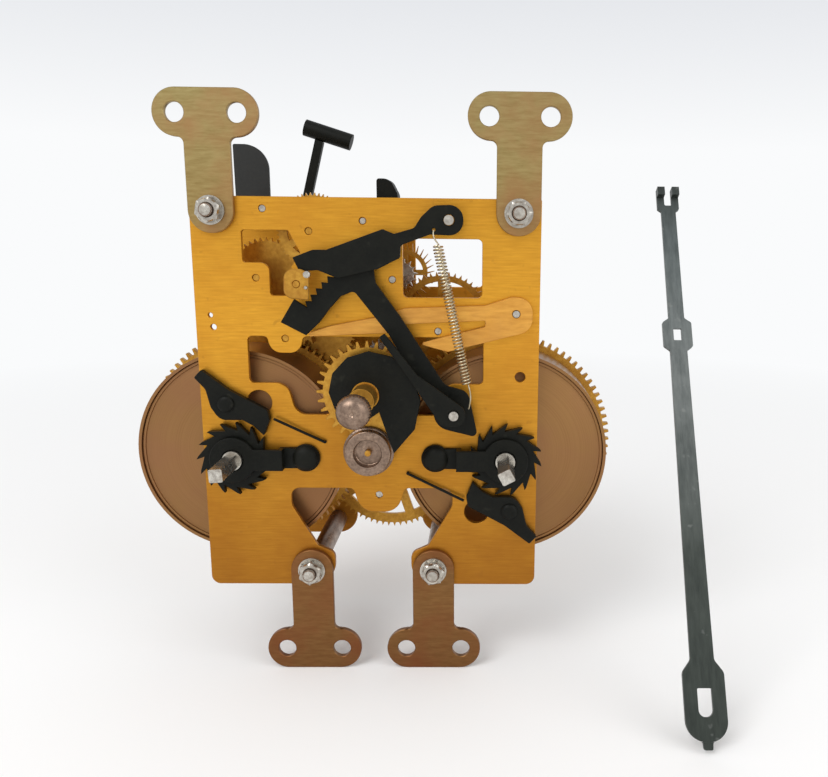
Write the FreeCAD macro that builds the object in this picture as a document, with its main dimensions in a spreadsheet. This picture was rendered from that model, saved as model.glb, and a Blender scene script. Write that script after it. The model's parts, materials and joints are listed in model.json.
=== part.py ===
import FreeCAD, Part
import math
import os
import Sketcher
from FreeCAD import Placement, Rotation, Vector

# Longcase clock movement, striking, with a loose pendulum leader.
# X is to the right, Z is up and the dial side faces -Y.
# The origin is on the centre arbor, at the front face of the front plate.
# Heights over the front plate are counted towards the dial, so a height of 3 is y = -3.

os.makedirs("parts", exist_ok=True)
doc = FreeCAD.newDocument("movement")

sizes = {
    # plates and pillars
    "plateHalfWidth": 55.0,
    "plateTop": 61.0,
    "plateBottom": 68.0,
    "plateThickness": 1.8,
    "plateGap": 46.0,
    "pillarRadius": 3.5,
    "boltRadius": 2.0,
    "boltClearance": 0.15,
    "topPillarInset": 7.3,
    "topPillarDrop": 4.4,
    "bottomPillarX": 20.5,
    "bottomPillarRise": 5.9,
    "pivotClearance": 0.15,
    "washerRadius": 4.5,
    "washerThickness": 0.8,
    "nutFlats": 7.0,
    "nutThickness": 3.0,
    "boltTipLength": 1.4,
    # mounting brackets
    "bracketThickness": 2.0,
    "bracketStemWidth": 14.0,
    "bracketBarLength": 32.0,
    "bracketBarHeight": 14.4,
    "bracketHoleSpacing": 18.8,
    "bracketHoleRadius": 3.0,
    "bracketReach": 28.9,
    # barrels
    "barrelX": 44.4,
    "barrelZ": 23.0,
    "barrelRadius": 34.6,
    "barrelWall": 1.0,
    "barrelFront": 6.0,
    "barrelDepth": 20.0,
    "coverThickness": 1.2,
    "greatTeeth": 84,
    "greatThickness": 2.4,
    "springCore": 7.0,
    # winding work
    "windingRadius": 3.2,
    "windingSquare": 4.2,
    "windingReach": 21.5,
    "ratchetTeeth": 15,
    "ratchetRadius": 12.2,
    "ratchetRoot": 9.6,
    "ratchetThickness": 2.4,
    "ratchetHeight": 0.5,
    "bridgeThickness": 1.5,
    "bridgeScrewX": 21.3,
    "bridgeScrewHead": 4.2,
    "bridgeRingRadius": 7.5,
    "runningGap": 0.4,
    "clickThickness": 2.4,
    "clickPivotX": 46.0,
    "leftClickZ": 4.6,
    "rightClickZ": 40.6,
    "clickSpringRadius": 0.45,
    # going train
    "secondX": 2.4,
    "secondZ": 36.0,
    "secondLeaves": 14,
    "secondTeeth": 69,
    "centreLeaves": 30,
    "centreTeeth": 80,
    "thirdX": 22.3,
    "thirdZ": 19.2,
    "thirdLeaves": 10,
    "thirdTeeth": 48,
    "escapeX": 7.8,
    "escapeZ": 35.6,
    "escapeLeaves": 14,
    "escapeTeeth": 30,
    "escapeRadius": 10.8,
    "anchorX": -1.2,
    "anchorZ": 53.8,
    # striking train
    "strikeSecondX": -26.8,
    "strikeSecondZ": 16.5,
    "strikeSecondLeaves": 12,
    "strikeSecondTeeth": 50,
    "pinWheelX": -35.3,
    "pinWheelZ": 35.8,
    "pinWheelLeaves": 10,
    "pinWheelTeeth": 40,
    "gatheringX": -20.4,
    "gatheringZ": 34.6,
    "gatheringLeaves": 10,
    "gatheringTeeth": 36,
    "warningX": -18.2,
    "warningZ": 50.5,
    "warningLeaves": 12,
    "warningTeeth": 54,
    "flyX": -6.6,
    "flyZ": 44.0,
    "flyLeaves": 7,
    "flyBladeReach": 7.0,
    "wheelThickness": 1.4,
    "arborRadius": 1.0,
    # motion work
    "motionDistance": 19.5,
    "cannonTeeth": 12,
    "minuteTeeth": 36,
    "minutePinionTeeth": 8,
    "hourTeeth": 32,
    "cupRadius": 8.2,
    "pipeBase": 4.4,
    "pipeRadius": 4.0,
    "pipeBore": 1.85,
    "pipeTop": 19.6,
    "snailSteps": 12,
    "snailDropRadius": 6.8,
    "snailLow": 8.0,
    "snailEvenRise": 0.86,
    "snailLateRise": 2.3,
    "snailThickness": 1.3,
    "handNutRadius": 5.1,
    "handNutReach": 38.0,
    # strike levers
    "leverThickness": 1.4,
    "rackX": 27.8,
    "rackZ": -5.8,
    "rackTeeth": 10,
    "rackTipRadius": 58.0,
    "rackToothDepth": 1.6,
    "rackEndRise": 3.2,
    "rackRimWidth": 5.6,
    "rackHub": 3.2,
    "hookX": 26.2,
    "hookZ": 54.3,
    "liftX": 47.4,
    "liftZ": 25.2,
    "tensionCoilRadius": 1.45,
    "tensionWireRadius": 0.28,
    "tensionCurls": 18,
    # rear work
    "hammerX": -32.4,
    "hammerZ": 57.3,
    "hammerHeadRadius": 3.0,
    "hammerHeadLength": 17.8,
    "cornerThickness": 1.5,
    # pendulum leader
    "leaderWidth": 7.2,
    "leaderThickness": 1.2,
    "leaderLength": 188.0,
    "leaderX": 103.6,
    "leaderFootY": 49.0,
    "leaderFootZ": 97.0,
    "leaderLean": 30.0,
}

sheet = doc.addObject("Spreadsheet::Sheet", "sizes")
for row, (name, value) in enumerate(sizes.items(), start=1):
    sheet.set("A%d" % row, name)
    sheet.set("B%d" % row, repr(value))
    sheet.setAlias("B%d" % row, name)
doc.recompute()


def v(name):
    return float(sheet.get(name))


def count(name):
    return int(round(v(name)))


# Outlines: each corner is (x, y) or (x, y, rounding radius).

def outline(corners):
    points = [(c[0], c[1], c[2] if len(c) > 2 else 0.0) for c in corners]
    spans = []
    for i, (x, y, r) in enumerate(points):
        here = Vector(x, y, 0)
        before = Vector(points[i - 1][0], points[i - 1][1], 0)
        after = Vector(points[(i + 1) % len(points)][0], points[(i + 1) % len(points)][1], 0)
        toBefore = (before - here).normalize()
        toAfter = (after - here).normalize()
        half = toBefore.getAngle(toAfter) / 2.0
        if r <= 0 or half > 1.5607:
            spans.append((here, None, here))
            continue
        reach = r / math.tan(half)
        start = here + toBefore * reach
        end = here + toAfter * reach
        bisector = (toBefore + toAfter).normalize()
        middle = here + bisector * (r / math.sin(half) - r)
        spans.append((start, middle, end))
    edges = []
    for i, (start, middle, end) in enumerate(spans):
        if middle is not None:
            edges.append(Part.Arc(start, middle, end))
        following = spans[(i + 1) % len(spans)][0]
        if end.distanceToPoint(following) > 1e-5:
            edges.append(Part.LineSegment(end, following))
    return edges


def ring(x, y, radius):
    return [Part.Circle(Vector(x, y, 0), Vector(0, 0, 1), radius)]


def polar(radius, angle):
    return (radius * math.cos(angle), radius * math.sin(angle))


def turned(corners, degrees, x=0.0, y=0.0):
    c = math.cos(math.radians(degrees))
    s = math.sin(math.radians(degrees))
    return [(x + p[0] * c - p[1] * s, y + p[0] * s + p[1] * c) + tuple(p[2:]) for p in corners]


# Toothed outlines

tipShare = 0.10
rootShare = 0.25


def gear(teeth, pitchRadius, phase=0.0, addendum=0.85, dedendum=1.2, pointed=True):
    """Toothed outline; pointed teeth have one corner at the tip, the others a land."""
    module = 2.0 * pitchRadius / teeth
    step = 2.0 * math.pi / teeth
    corners = []
    for i in range(teeth):
        middle = phase + i * step
        corners.append(polar(pitchRadius - dedendum * module, middle - rootShare * step))
        if pointed:
            corners.append(polar(pitchRadius + addendum * module, middle))
        else:
            corners.append(polar(pitchRadius + addendum * module, middle - tipShare * step))
            corners.append(polar(pitchRadius + addendum * module, middle + tipShare * step))
        corners.append(polar(pitchRadius - dedendum * module, middle + rootShare * step))
    return outline(corners)


def mesh(driverTeeth, driverPhase, driverAt, followerTeeth, followerAt):
    """Phase that puts a gap of the follower where the driver points a tooth."""
    angle = math.atan2(followerAt[1] - driverAt[1], followerAt[0] - driverAt[0])
    driverStep = 2.0 * math.pi / driverTeeth
    followerStep = 2.0 * math.pi / followerTeeth
    offset = (angle - driverPhase) / driverStep
    return angle + math.pi + followerStep * (0.5 + offset)


def windows(spokes, hub, rim, width, first=0.0):
    loops = []
    for i in range(spokes):
        start = first + 2.0 * math.pi * i / spokes
        end = first + 2.0 * math.pi * (i + 1) / spokes
        outerInset = math.asin(width / 2.0 / rim)
        innerInset = math.asin(width / 2.0 / hub)
        a = Vector(*polar(rim, start + outerInset), 0)
        b = Vector(*polar(rim, (start + end) / 2.0), 0)
        c = Vector(*polar(rim, end - outerInset), 0)
        d = Vector(*polar(hub, end - innerInset), 0)
        e = Vector(*polar(hub, (start + end) / 2.0), 0)
        f = Vector(*polar(hub, start + innerInset), 0)
        loops += [Part.Arc(a, b, c), Part.LineSegment(c, d), Part.Arc(d, e, f), Part.LineSegment(f, a)]
    return loops


# Bodies: a body lies with its sketches parallel to the plates, height counted towards the dial.

parts = []


def newBody(label, x=0.0, z=0.0, y=0.0):
    body = doc.addObject("PartDesign::Body", label)
    body.Label = label
    body.Placement = Placement(Vector(x, y, z), Rotation(Vector(1, 0, 0), 90))
    parts.append(body)
    return body


def originPlane(body, role="XY_Plane"):
    for feature in body.Origin.OriginFeatures:
        if feature.Role == role:
            return feature
    raise RuntimeError("no plane " + role)


def sketchOn(body, geometry, height):
    sketch = body.newObject("Sketcher::SketchObject", body.Label + "_sketch")
    sketch.AttachmentSupport = [(originPlane(body), "")]
    sketch.MapMode = "FlatFace"
    sketch.AttachmentOffset = Placement(Vector(0, 0, height), Rotation())
    sketch.addGeometry(geometry, False)
    sketch.Visibility = False
    return sketch


def pad(body, geometry, height, length):
    """Adds the outline from a height, by a length given as a number or as a sheet expression."""
    feature = body.newObject("PartDesign::Pad", body.Label + "_pad")
    feature.Profile = sketchOn(body, geometry, height)
    if isinstance(length, str):
        feature.setExpression("Length", length)
    else:
        feature.Length = length
    return feature


def pocket(body, geometry, height, length):
    """Cuts the outline downwards from a height."""
    feature = body.newObject("PartDesign::Pocket", body.Label + "_pocket")
    feature.Profile = sketchOn(body, geometry, height)
    if isinstance(length, str):
        feature.setExpression("Length", length)
    else:
        feature.Length = length
    return feature


# Derived places

plateBack = v("plateThickness") + v("plateGap")
rearFace = plateBack + v("plateThickness")
halfWidth = v("plateHalfWidth")
barrelAt = {"time": (v("barrelX"), -v("barrelZ")), "strike": (-v("barrelX"), -v("barrelZ"))}
secondAt = (v("secondX"), -v("secondZ"))
centreAt = (0.0, 0.0)
thirdAt = (v("thirdX"), v("thirdZ"))
escapeAt = (v("escapeX"), v("escapeZ"))
anchorAt = (v("anchorX"), v("anchorZ"))
strikeSecondAt = (v("strikeSecondX"), v("strikeSecondZ"))
pinWheelAt = (v("pinWheelX"), v("pinWheelZ"))
gatheringAt = (v("gatheringX"), v("gatheringZ"))
warningAt = (v("warningX"), v("warningZ"))
flyAt = (v("flyX"), v("flyZ"))
motionAt = (0.0, -v("motionDistance"))
rackAt = (v("rackX"), v("rackZ"))
hookAt = (v("hookX"), v("hookZ"))
liftAt = (v("liftX"), v("liftZ"))
hammerAt = (v("hammerX"), v("hammerZ"))
topPillarX = halfWidth - v("topPillarInset")
topPillarZ = v("plateTop") - v("topPillarDrop")
bottomPillarZ = v("plateBottom") - v("bottomPillarRise")
pillarsAt = [
    (-topPillarX, topPillarZ),
    (topPillarX, topPillarZ),
    (-v("bottomPillarX"), -bottomPillarZ),
    (v("bottomPillarX"), -bottomPillarZ),
]
pivotHole = v("arborRadius") + v("pivotClearance")
boltHole = v("boltRadius") + v("boltClearance")
arbor = v("arborRadius")
# Pivots end a little below the face of their plate
pivotProud = -0.5


def distance(a, b):
    return math.hypot(a[0] - b[0], a[1] - b[1])


def pair(a, b, teethA, teethB):
    """Pitch radii of two wheels in mesh, from their centre distance and tooth counts."""
    total = distance(a, b)
    return total * teethA / (teethA + teethB), total * teethB / (teethA + teethB)


# Depths behind the front face at which the wheels run
greatDepth = v("barrelFront") + v("barrelDepth")
wheel = v("wheelThickness")
thirdDepth = greatDepth + v("greatThickness") + 2.0
centreDepth = thirdDepth + 3.5
secondDepth = centreDepth + 4.5
escapeDepth = plateBack - 5.0
warningDepth = v("plateThickness") + 6.0
pinWheelDepth = warningDepth + 6.0
gatheringDepth = pinWheelDepth + 7.5

# Pitch radii and phases of the going train
greatR, secondPinionR = pair(barrelAt["time"], secondAt, count("greatTeeth"), count("secondLeaves"))
secondR, centrePinionR = pair(secondAt, centreAt, count("secondTeeth"), count("centreLeaves"))
centreR, thirdPinionR = pair(centreAt, thirdAt, count("centreTeeth"), count("thirdLeaves"))
thirdR, escapePinionR = pair(thirdAt, escapeAt, count("thirdTeeth"), count("escapeLeaves"))
strikeGreatR, strikePinionR = pair(
    barrelAt["strike"], strikeSecondAt, count("greatTeeth"), count("strikeSecondLeaves"))
strikeSecondR, pinPinionR = pair(
    strikeSecondAt, pinWheelAt, count("strikeSecondTeeth"), count("pinWheelLeaves"))
pinWheelR, gatheringPinionR = pair(
    pinWheelAt, gatheringAt, count("pinWheelTeeth"), count("gatheringLeaves"))
gatheringR, warningPinionR = pair(
    gatheringAt, warningAt, count("gatheringTeeth"), count("warningLeaves"))
warningR, flyPinionR = pair(warningAt, flyAt, count("warningTeeth"), count("flyLeaves"))
minuteR, cannonR = pair(motionAt, centreAt, count("minuteTeeth"), count("cannonTeeth"))
hourR, minutePinionR = pair(centreAt, motionAt, count("hourTeeth"), count("minutePinionTeeth"))

secondPinionPhase = mesh(count("greatTeeth"), 0.0, barrelAt["time"], count("secondLeaves"), secondAt)
centrePinionPhase = mesh(count("secondTeeth"), 0.0, secondAt, count("centreLeaves"), centreAt)
thirdPinionPhase = mesh(count("centreTeeth"), 0.0, centreAt, count("thirdLeaves"), thirdAt)
escapePinionPhase = mesh(count("thirdTeeth"), 0.0, thirdAt, count("escapeLeaves"), escapeAt)
strikePinionPhase = mesh(
    count("greatTeeth"), 0.0, barrelAt["strike"], count("strikeSecondLeaves"), strikeSecondAt)
pinPinionPhase = mesh(
    count("strikeSecondTeeth"), 0.0, strikeSecondAt, count("pinWheelLeaves"), pinWheelAt)
gatheringPinionPhase = mesh(
    count("pinWheelTeeth"), 0.0, pinWheelAt, count("gatheringLeaves"), gatheringAt)
warningPinionPhase = mesh(
    count("gatheringTeeth"), 0.0, gatheringAt, count("warningLeaves"), warningAt)
flyPinionPhase = mesh(count("warningTeeth"), 0.0, warningAt, count("flyLeaves"), flyAt)
cannonPhase = mesh(count("minuteTeeth"), 0.0, motionAt, count("cannonTeeth"), centreAt)
minutePinionPhase = mesh(count("hourTeeth"), 0.0, centreAt, count("minutePinionTeeth"), motionAt)

# Front heights of the work under the dial
lever = v("leverThickness")
liftHeight = 0.5
hourHeight = 2.9
minuteDepth = v("plateThickness") + 0.6
cupHeight = hourHeight + wheel + 0.4
rackHeight = hourHeight + wheel + 0.5
hookHeight = rackHeight + lever + 0.6
snailHeight = cupHeight + 3.8 + 0.6
rackTailHeight = snailHeight + v("snailThickness") + 0.4


# Plates

def plateOutline():
    top = v("plateTop")
    bottom = -v("plateBottom")
    legX = v("bottomPillarX") - 7.6
    legTop = -bottomPillarZ + 5.5
    right = [
        (halfWidth, top, 0.6),
        (halfWidth, bottom, 3.0),
        (legX, bottom, 7.4),
        (legX, legTop, 3.0),
        (18.7, -54.0, 2.0),
        (26.9, -39.8, 4.0),
        (26.9, -33.7, 3.0),
        (11.0, -33.7, 2.0),
        (secondAt[0] + 6.0, secondAt[1] - 6.0, 5.8),
    ]
    left = [
        (secondAt[0] - 6.0, secondAt[1] - 6.0, 5.8),
        (-6.2, -33.7, 2.0),
        (-26.9, -33.7, 3.0),
        (-26.9, -39.8, 4.0),
        (-18.7, -54.0, 2.0),
        (-legX, legTop, 3.0),
        (-legX, bottom, 7.4),
        (-halfWidth, bottom, 3.0),
        (-halfWidth, top, 0.6),
    ]
    return outline(right + left)


rightWindow = [(11.2, 48.5, 1.5), (36.4, 48.5, 1.5), (36.4, 30.0, 1.5), (11.2, 30.0, 1.5)]
leftWindow = [
    (-39.3, 50.7, 1.0), (-24.5, 50.7, 1.0), (-20.6, 43.0, 1.5), (-23.8, 39.8, 1.0),
    (-23.8, 30.2, 1.0), (-30.9, 30.2, 1.0), (-30.9, 40.6, 3.0), (-39.3, 40.6, 1.0),
]
middleWindow = [
    (-38.9, 17.2, 1.5), (-32.6, 17.2, 1.5), (-31.5, 11.8, 4.2), (-22.1, 11.8, 4.2), (-21.0, 17.2, 1.5),
    (36.9, 17.2, 1.5), (36.9, 1.9, 1.5), (24.4, 1.9, 4.0), (22.6, -8.6, 3.0), (12.4, -8.6, 3.0),
    (9.4, 9.2, 7.0), (-9.4, 9.2, 7.0), (-12.4, -8.6, 3.0), (-24.0, -8.6, 4.5), (-26.8, 1.9, 5.0),
    (-38.9, 1.9, 1.5),
]
commonPivots = [
    secondAt, thirdAt, escapeAt, anchorAt, strikeSecondAt, pinWheelAt, gatheringAt, warningAt, flyAt,
    hammerAt,
]


def commonHoles():
    holes = []
    for x, y in pillarsAt:
        holes += ring(x, y, boltHole)
    for x, y in commonPivots:
        holes += ring(x, y, pivotHole)
    for side in barrelAt.values():
        holes += ring(side[0], side[1], v("windingRadius") + 0.15)
    return holes


frontPlate = newBody("front_plate")
frontGeometry = plateOutline() + outline(rightWindow) + outline(leftWindow) + outline(middleWindow)
frontGeometry += commonHoles() + ring(0, 0, 2.4) + ring(motionAt[0], motionAt[1], pivotHole)
frontGeometry += ring(-36.0, -4.6, 4.1) + ring(35.0, -41.8, 4.1)
frontGeometry += ring(halfWidth - 6.0, 4.4, 1.7) + ring(4.7 - halfWidth, 23.8, 0.8)
frontGeometry += ring(5.5 - halfWidth, 20.0, 1.0)
pad(frontPlate, frontGeometry, -v("plateThickness"), "sizes.plateThickness")

backPlate = newBody("back_plate", y=plateBack)
backGeometry = plateOutline() + outline(rightWindow) + commonHoles() + ring(0, 0, pivotHole)
pad(backPlate, backGeometry, -v("plateThickness"), "sizes.plateThickness")


# Pillars, washers and nuts, grouped by kind

def groupFeature(label, shapes):
    feature = doc.addObject("Part::Feature", label)
    feature.Label = label
    feature.Shape = Part.Compound(shapes)
    parts.append(feature)
    return feature


def rod(x, z, yStart, length, radius):
    return Part.makeCylinder(radius, length, Vector(x, yStart, z), Vector(0, 1, 0))


frontStack = v("bracketThickness") + v("washerThickness") + v("nutThickness") + v("boltTipLength")
rearStack = v("nutThickness") + v("boltTipLength")
pillarShapes = []
washerShapes = []
nutShapes = []
for x, z in pillarsAt:
    body = rod(x, z, v("plateThickness"), v("plateGap"), v("pillarRadius"))
    bolt = rod(x, z, -frontStack, frontStack + rearFace + rearStack, v("boltRadius"))
    pillarShapes.append(body.fuse(bolt).removeSplitter())
    washer = rod(x, z, -v("bracketThickness") - v("washerThickness"), v("washerThickness"), v("washerRadius"))
    washerShapes.append(washer.cut(bolt))
    for nutStart in (-v("bracketThickness") - v("washerThickness") - v("nutThickness"), rearFace):
        corners = [polar(v("nutFlats") / math.sqrt(3.0), math.radians(60 * i + 30)) for i in range(7)]
        face = Part.Face(Part.makePolygon([Vector(x + c[0], nutStart, z + c[1]) for c in corners]))
        nutShapes.append(face.extrude(Vector(0, v("nutThickness"), 0)).cut(bolt))
groupFeature("pillars", pillarShapes)
groupFeature("pillar_washers", washerShapes)
groupFeature("pillar_nuts", nutShapes)


# Mounting brackets: a stem with a round end over the bolt, and a bar with two holes

def bracketOutline(at, degrees):
    stem = v("bracketStemWidth") / 2.0
    barHalf = v("bracketBarLength") / 2.0
    barRound = v("bracketBarHeight") / 2.0 - 0.05
    barLow = v("bracketReach") - v("bracketBarHeight") / 2.0
    barHigh = v("bracketReach") + v("bracketBarHeight") / 2.0
    corners = [
        (-stem, -stem, stem - 0.05), (stem, -stem, stem - 0.05), (stem, barLow, 2.0),
        (barHalf, barLow, barRound), (barHalf, barHigh, barRound),
        (-barHalf, barHigh, barRound), (-barHalf, barLow, barRound), (-stem, barLow, 2.0),
    ]
    holes = ring(at[0], at[1], boltHole)
    for side in (-0.5, 0.5):
        centre = turned([(side * v("bracketHoleSpacing"), v("bracketReach"))], degrees, *at)[0]
        holes += ring(centre[0], centre[1], v("bracketHoleRadius"))
    return outline(turned(corners, degrees, *at)) + holes


for label, places, degrees in (
        ("upper_brackets", pillarsAt[:2], 0), ("lower_brackets", pillarsAt[2:], 180)):
    blanks = []
    for at in places:
        edges = [g.toShape() for g in bracketOutline(at, degrees)]
        wires = [Part.Wire(loop) for loop in Part.sortEdges(edges)]
        blank = Part.Face(wires, "Part::FaceMakerBullseye")
        blanks.append(blank.extrude(Vector(0, 0, v("bracketThickness"))))
    pairOfBrackets = groupFeature(label, blanks)
    pairOfBrackets.Placement = Placement(Vector(0, 0, 0), Rotation(Vector(1, 0, 0), 90))


# Barrels: drum with the great wheel at its back, cover at the front, mainspring inside

def barrel(name):
    x, z = barrelAt[name]
    radius = v("barrelRadius")
    bore = v("windingRadius") + 0.3
    drum = newBody(name + "_barrel_drum", x, z, greatDepth)
    pad(drum, ring(0, 0, radius) + ring(0, 0, radius - v("barrelWall")), 0.0, "sizes.barrelDepth")
    pad(drum, ring(0, 0, radius) + ring(0, 0, bore), 0.0, "sizes.barrelWall")
    cover = newBody(name + "_barrel_cover", x, z, v("barrelFront") + v("coverThickness") + 0.6)
    lip = radius - v("barrelWall")
    pad(cover, ring(0, 0, lip) + ring(0, 0, bore), 0.0, "sizes.coverThickness")
    spring = newBody(name + "_mainspring", x, z, greatDepth - v("barrelWall") - 0.5)
    springWidth = v("barrelDepth") - v("barrelWall") - v("coverThickness") - 1.6
    pad(spring, ring(0, 0, lip - 0.4) + ring(0, 0, v("springCore")), 0.0, springWidth)
    great = newBody(name + "_great_wheel", x, z, greatDepth + v("greatThickness"))
    pitch = greatR if name == "time" else strikeGreatR
    pad(great, gear(count("greatTeeth"), pitch, pointed=False) + ring(0, 0, bore), 0.0,
        "sizes.greatThickness")


for name in ("time", "strike"):
    barrel(name)


# Winding arbors, ratchets, clicks and bridges

def squareOutline(side, degrees):
    half = side / 2.0
    return outline(turned([(-half, -half, 0.5), (half, -half, 0.5), (half, half, 0.5), (-half, half, 0.5)],
                          degrees))


# Sense is +1 where the tooth tips lean counter-clockwise as seen from the dial side
ratchetSense = {"strike": 1, "time": -1}
ratchetPhase = {"strike": math.radians(8.0), "time": math.radians(8.0 + 180.0)}
squareTurn = {"strike": 4.0, "time": 28.0}
ratchetTop = v("ratchetHeight") + v("ratchetThickness")
bridgeUnder = ratchetTop + v("runningGap")

for name in ("time", "strike"):
    x, z = barrelAt[name]
    squareSide = v("windingSquare")
    arborBody = newBody(name + "_winding_arbor", x, z)
    rear = -plateBack - v("plateThickness")
    pad(arborBody, ring(0, 0, v("windingRadius")), rear, -rear + bridgeUnder + v("bridgeThickness") + 0.6)
    coreStart = -greatDepth + v("barrelWall") + 1.0
    coreLength = v("barrelDepth") - v("barrelWall") - v("coverThickness") - 3.0
    pad(arborBody, ring(0, 0, v("springCore") - 0.4), coreStart, coreLength)
    squareStart = bridgeUnder + v("bridgeThickness")
    pad(arborBody, squareOutline(squareSide, squareTurn[name]), squareStart, v("windingReach") - squareStart)
    ratchet = newBody(name + "_ratchet_wheel", x, z)
    step = 2.0 * math.pi / count("ratchetTeeth")
    corners = []
    for i in range(count("ratchetTeeth")):
        base = ratchetPhase[name] + i * step
        lean = ratchetSense[name] * step
        corners.append(polar(v("ratchetRoot"), base))
        corners.append(polar(v("ratchetRadius"), base + 0.22 * lean))
        corners.append(polar(v("ratchetRadius") - 0.5, base + 0.02 * lean))
    if ratchetSense[name] > 0:
        corners = [corners[3 * i + j] for i in range(count("ratchetTeeth")) for j in (0, 1, 2)]
    ordered = []
    for i in range(count("ratchetTeeth")):
        root, tip, shoulder = corners[3 * i:3 * i + 3]
        if ratchetSense[name] > 0:
            ordered += [shoulder, tip, root]
        else:
            ordered += [root, tip, shoulder]
    pad(ratchet, outline(ordered) + ring(0, 0, v("windingRadius")), v("ratchetHeight"),
        "sizes.ratchetThickness")
    towards = 1.0 if name == "strike" else -1.0
    screwX = towards * (v("barrelX") - v("bridgeScrewX"))
    footEnd = towards * (v("ratchetRadius") + 2.4)
    bridge = newBody(name + "_ratchet_bridge", x, z)
    half = 3.5
    foot = [(footEnd, -half), (screwX, -half, 0.5), (screwX, half, 0.5), (footEnd, half)]
    pad(bridge, outline(foot if towards > 0 else foot[::-1]), 0.0, "sizes.bridgeThickness")
    pad(bridge, ring(screwX, 0.0, 4.6), 0.0, "sizes.bridgeThickness")
    riser = [(footEnd, -half), (footEnd + towards * 1.5, -half), (footEnd + towards * 1.5, half),
             (footEnd, half)]
    pad(bridge, outline(riser if towards > 0 else riser[::-1]), 0.0, bridgeUnder + v("bridgeThickness"))
    bar = [(0.0, -half), (footEnd + towards * 1.5, -half), (footEnd + towards * 1.5, half), (0.0, half)]
    pad(bridge, outline(bar if towards > 0 else bar[::-1]), bridgeUnder, "sizes.bridgeThickness")
    pad(bridge, ring(0, 0, v("bridgeRingRadius")), bridgeUnder, "sizes.bridgeThickness")
    pocket(bridge, ring(0, 0, v("windingRadius") + 0.3), bridgeUnder + v("bridgeThickness"),
           v("bridgeThickness"))
    pocket(bridge, ring(screwX, 0.0, 1.6), bridgeUnder + v("bridgeThickness"),
           bridgeUnder + v("bridgeThickness"))

leftClick = [
    (-53.5, 6.5, 0.4), (-55.8, 4.0, 0.4), (-52.4, 0.2, 3.0), (-51.0, -5.8, 3.0), (-48.2, -10.0, 4.0),
    (-41.0, -9.9, 1.5), (-37.4, -11.9, 0.6), (-34.3, -15.1, 0.3), (-32.2, -9.8, 0.8), (-32.8, -6.6, 1.2),
    (-45.0, 0.0, 3.0),
]
rightClick = [(-p[0] - 0.6, -p[1] - 2.0 * v("barrelZ") + 0.4, p[2]) for p in leftClick]
clickAt = {"strike": (-v("clickPivotX"), -v("leftClickZ")), "time": (v("clickPivotX"), -v("rightClickZ"))}
clickOutline = {"strike": leftClick, "time": rightClick}
for name in ("time", "strike"):
    x, z = clickAt[name]
    local = [(p[0] - x, p[1] - z, p[2]) for p in clickOutline[name]]
    click = newBody(name + "_click", x, z)
    pad(click, outline(local) + ring(0, 0, 1.7), v("ratchetHeight"), "sizes.clickThickness")

screwShapes = []
for side in (-1.0, 1.0):
    screwHead = rod(side * v("bridgeScrewX"), -v("barrelZ"), -v("bridgeThickness") - 1.6, 1.6,
                    v("bridgeScrewHead"))
    shank = rod(side * v("bridgeScrewX"), -v("barrelZ"), -v("bridgeThickness") - 1.0,
                v("bridgeThickness") + 1.0, 1.5)
    screwShapes.append(screwHead.fuse(shank).removeSplitter())
for x, z in clickAt.values():
    clickTop = v("ratchetHeight") + v("clickThickness") + 0.2
    screwShapes.append(
        rod(x, z, -clickTop - 1.0, 1.0, 2.6).fuse(
            rod(x, z, -clickTop, clickTop, 1.5)).removeSplitter())
groupFeature("black_screws", screwShapes)


def straightRod(start, end, radius):
    span = end - start
    return Part.makeCylinder(radius, span.Length, start, span)


for label, start, end in (
        ("strike_click_spring", Vector(-14.9, -1.0, -17.6), Vector(-31.1, -2.0, -9.6)),
        ("time_click_spring", Vector(12.1, -1.0, -28.2), Vector(30.8, -2.0, -37.2))):
    foot = rod(start.x, start.z, start.y, -start.y, v("clickSpringRadius"))
    groupFeature(label, [straightRod(start, end, v("clickSpringRadius")).fuse(foot).removeSplitter()])


# Trains: a wheel on its arbor, with pinion leaves and pivots that run in both plates

def arborPads(body, pinion=None, pinionSpan=None, front=pivotProud, rear=pivotProud):
    """Arbor that runs through both plates, and its pinion leaves."""
    pad(body, ring(0, 0, arbor), -rearFace - rear, rearFace + rear + front)
    if pinion is not None:
        pad(body, pinion, -pinionSpan[1], pinionSpan[1] - pinionSpan[0])


def trainWheel(label, at, geometry, depth, thickness="sizes.wheelThickness"):
    body = newBody(label, at[0], at[1], depth + wheel)
    pad(body, geometry + ring(0, 0, arbor), 0.0, thickness)
    return body


# Going train
body = newBody("second_arbor", *secondAt)
arborPads(body, pinion=gear(count("secondLeaves"), secondPinionR, secondPinionPhase),
          pinionSpan=(greatDepth - 1.0, greatDepth + v("greatThickness") + 1.0))
trainWheel("second_wheel", secondAt,
           gear(count("secondTeeth"), secondR) + windows(5, 6.0, secondR - 4.4, 3.4, math.radians(72)),
           secondDepth)

body = newBody("centre_arbor")
pad(body, ring(0, 0, arbor), -rearFace - pivotProud, v("plateThickness") + pivotProud + 0.7)
pad(body, ring(0, 0, 1.6), -plateBack + 0.5, plateBack - 0.5 + v("handNutReach") - 3.0)
pad(body, gear(count("centreLeaves"), centrePinionR, centrePinionPhase), -secondDepth - wheel - 0.8,
    wheel + 1.6)
body = newBody("centre_wheel", 0.0, 0.0, centreDepth + wheel)
pad(body, gear(count("centreTeeth"), centreR) + windows(5, 6.0, centreR - 4.0, 3.4)
    + ring(0, 0, 1.6), 0.0, "sizes.wheelThickness")

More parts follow.
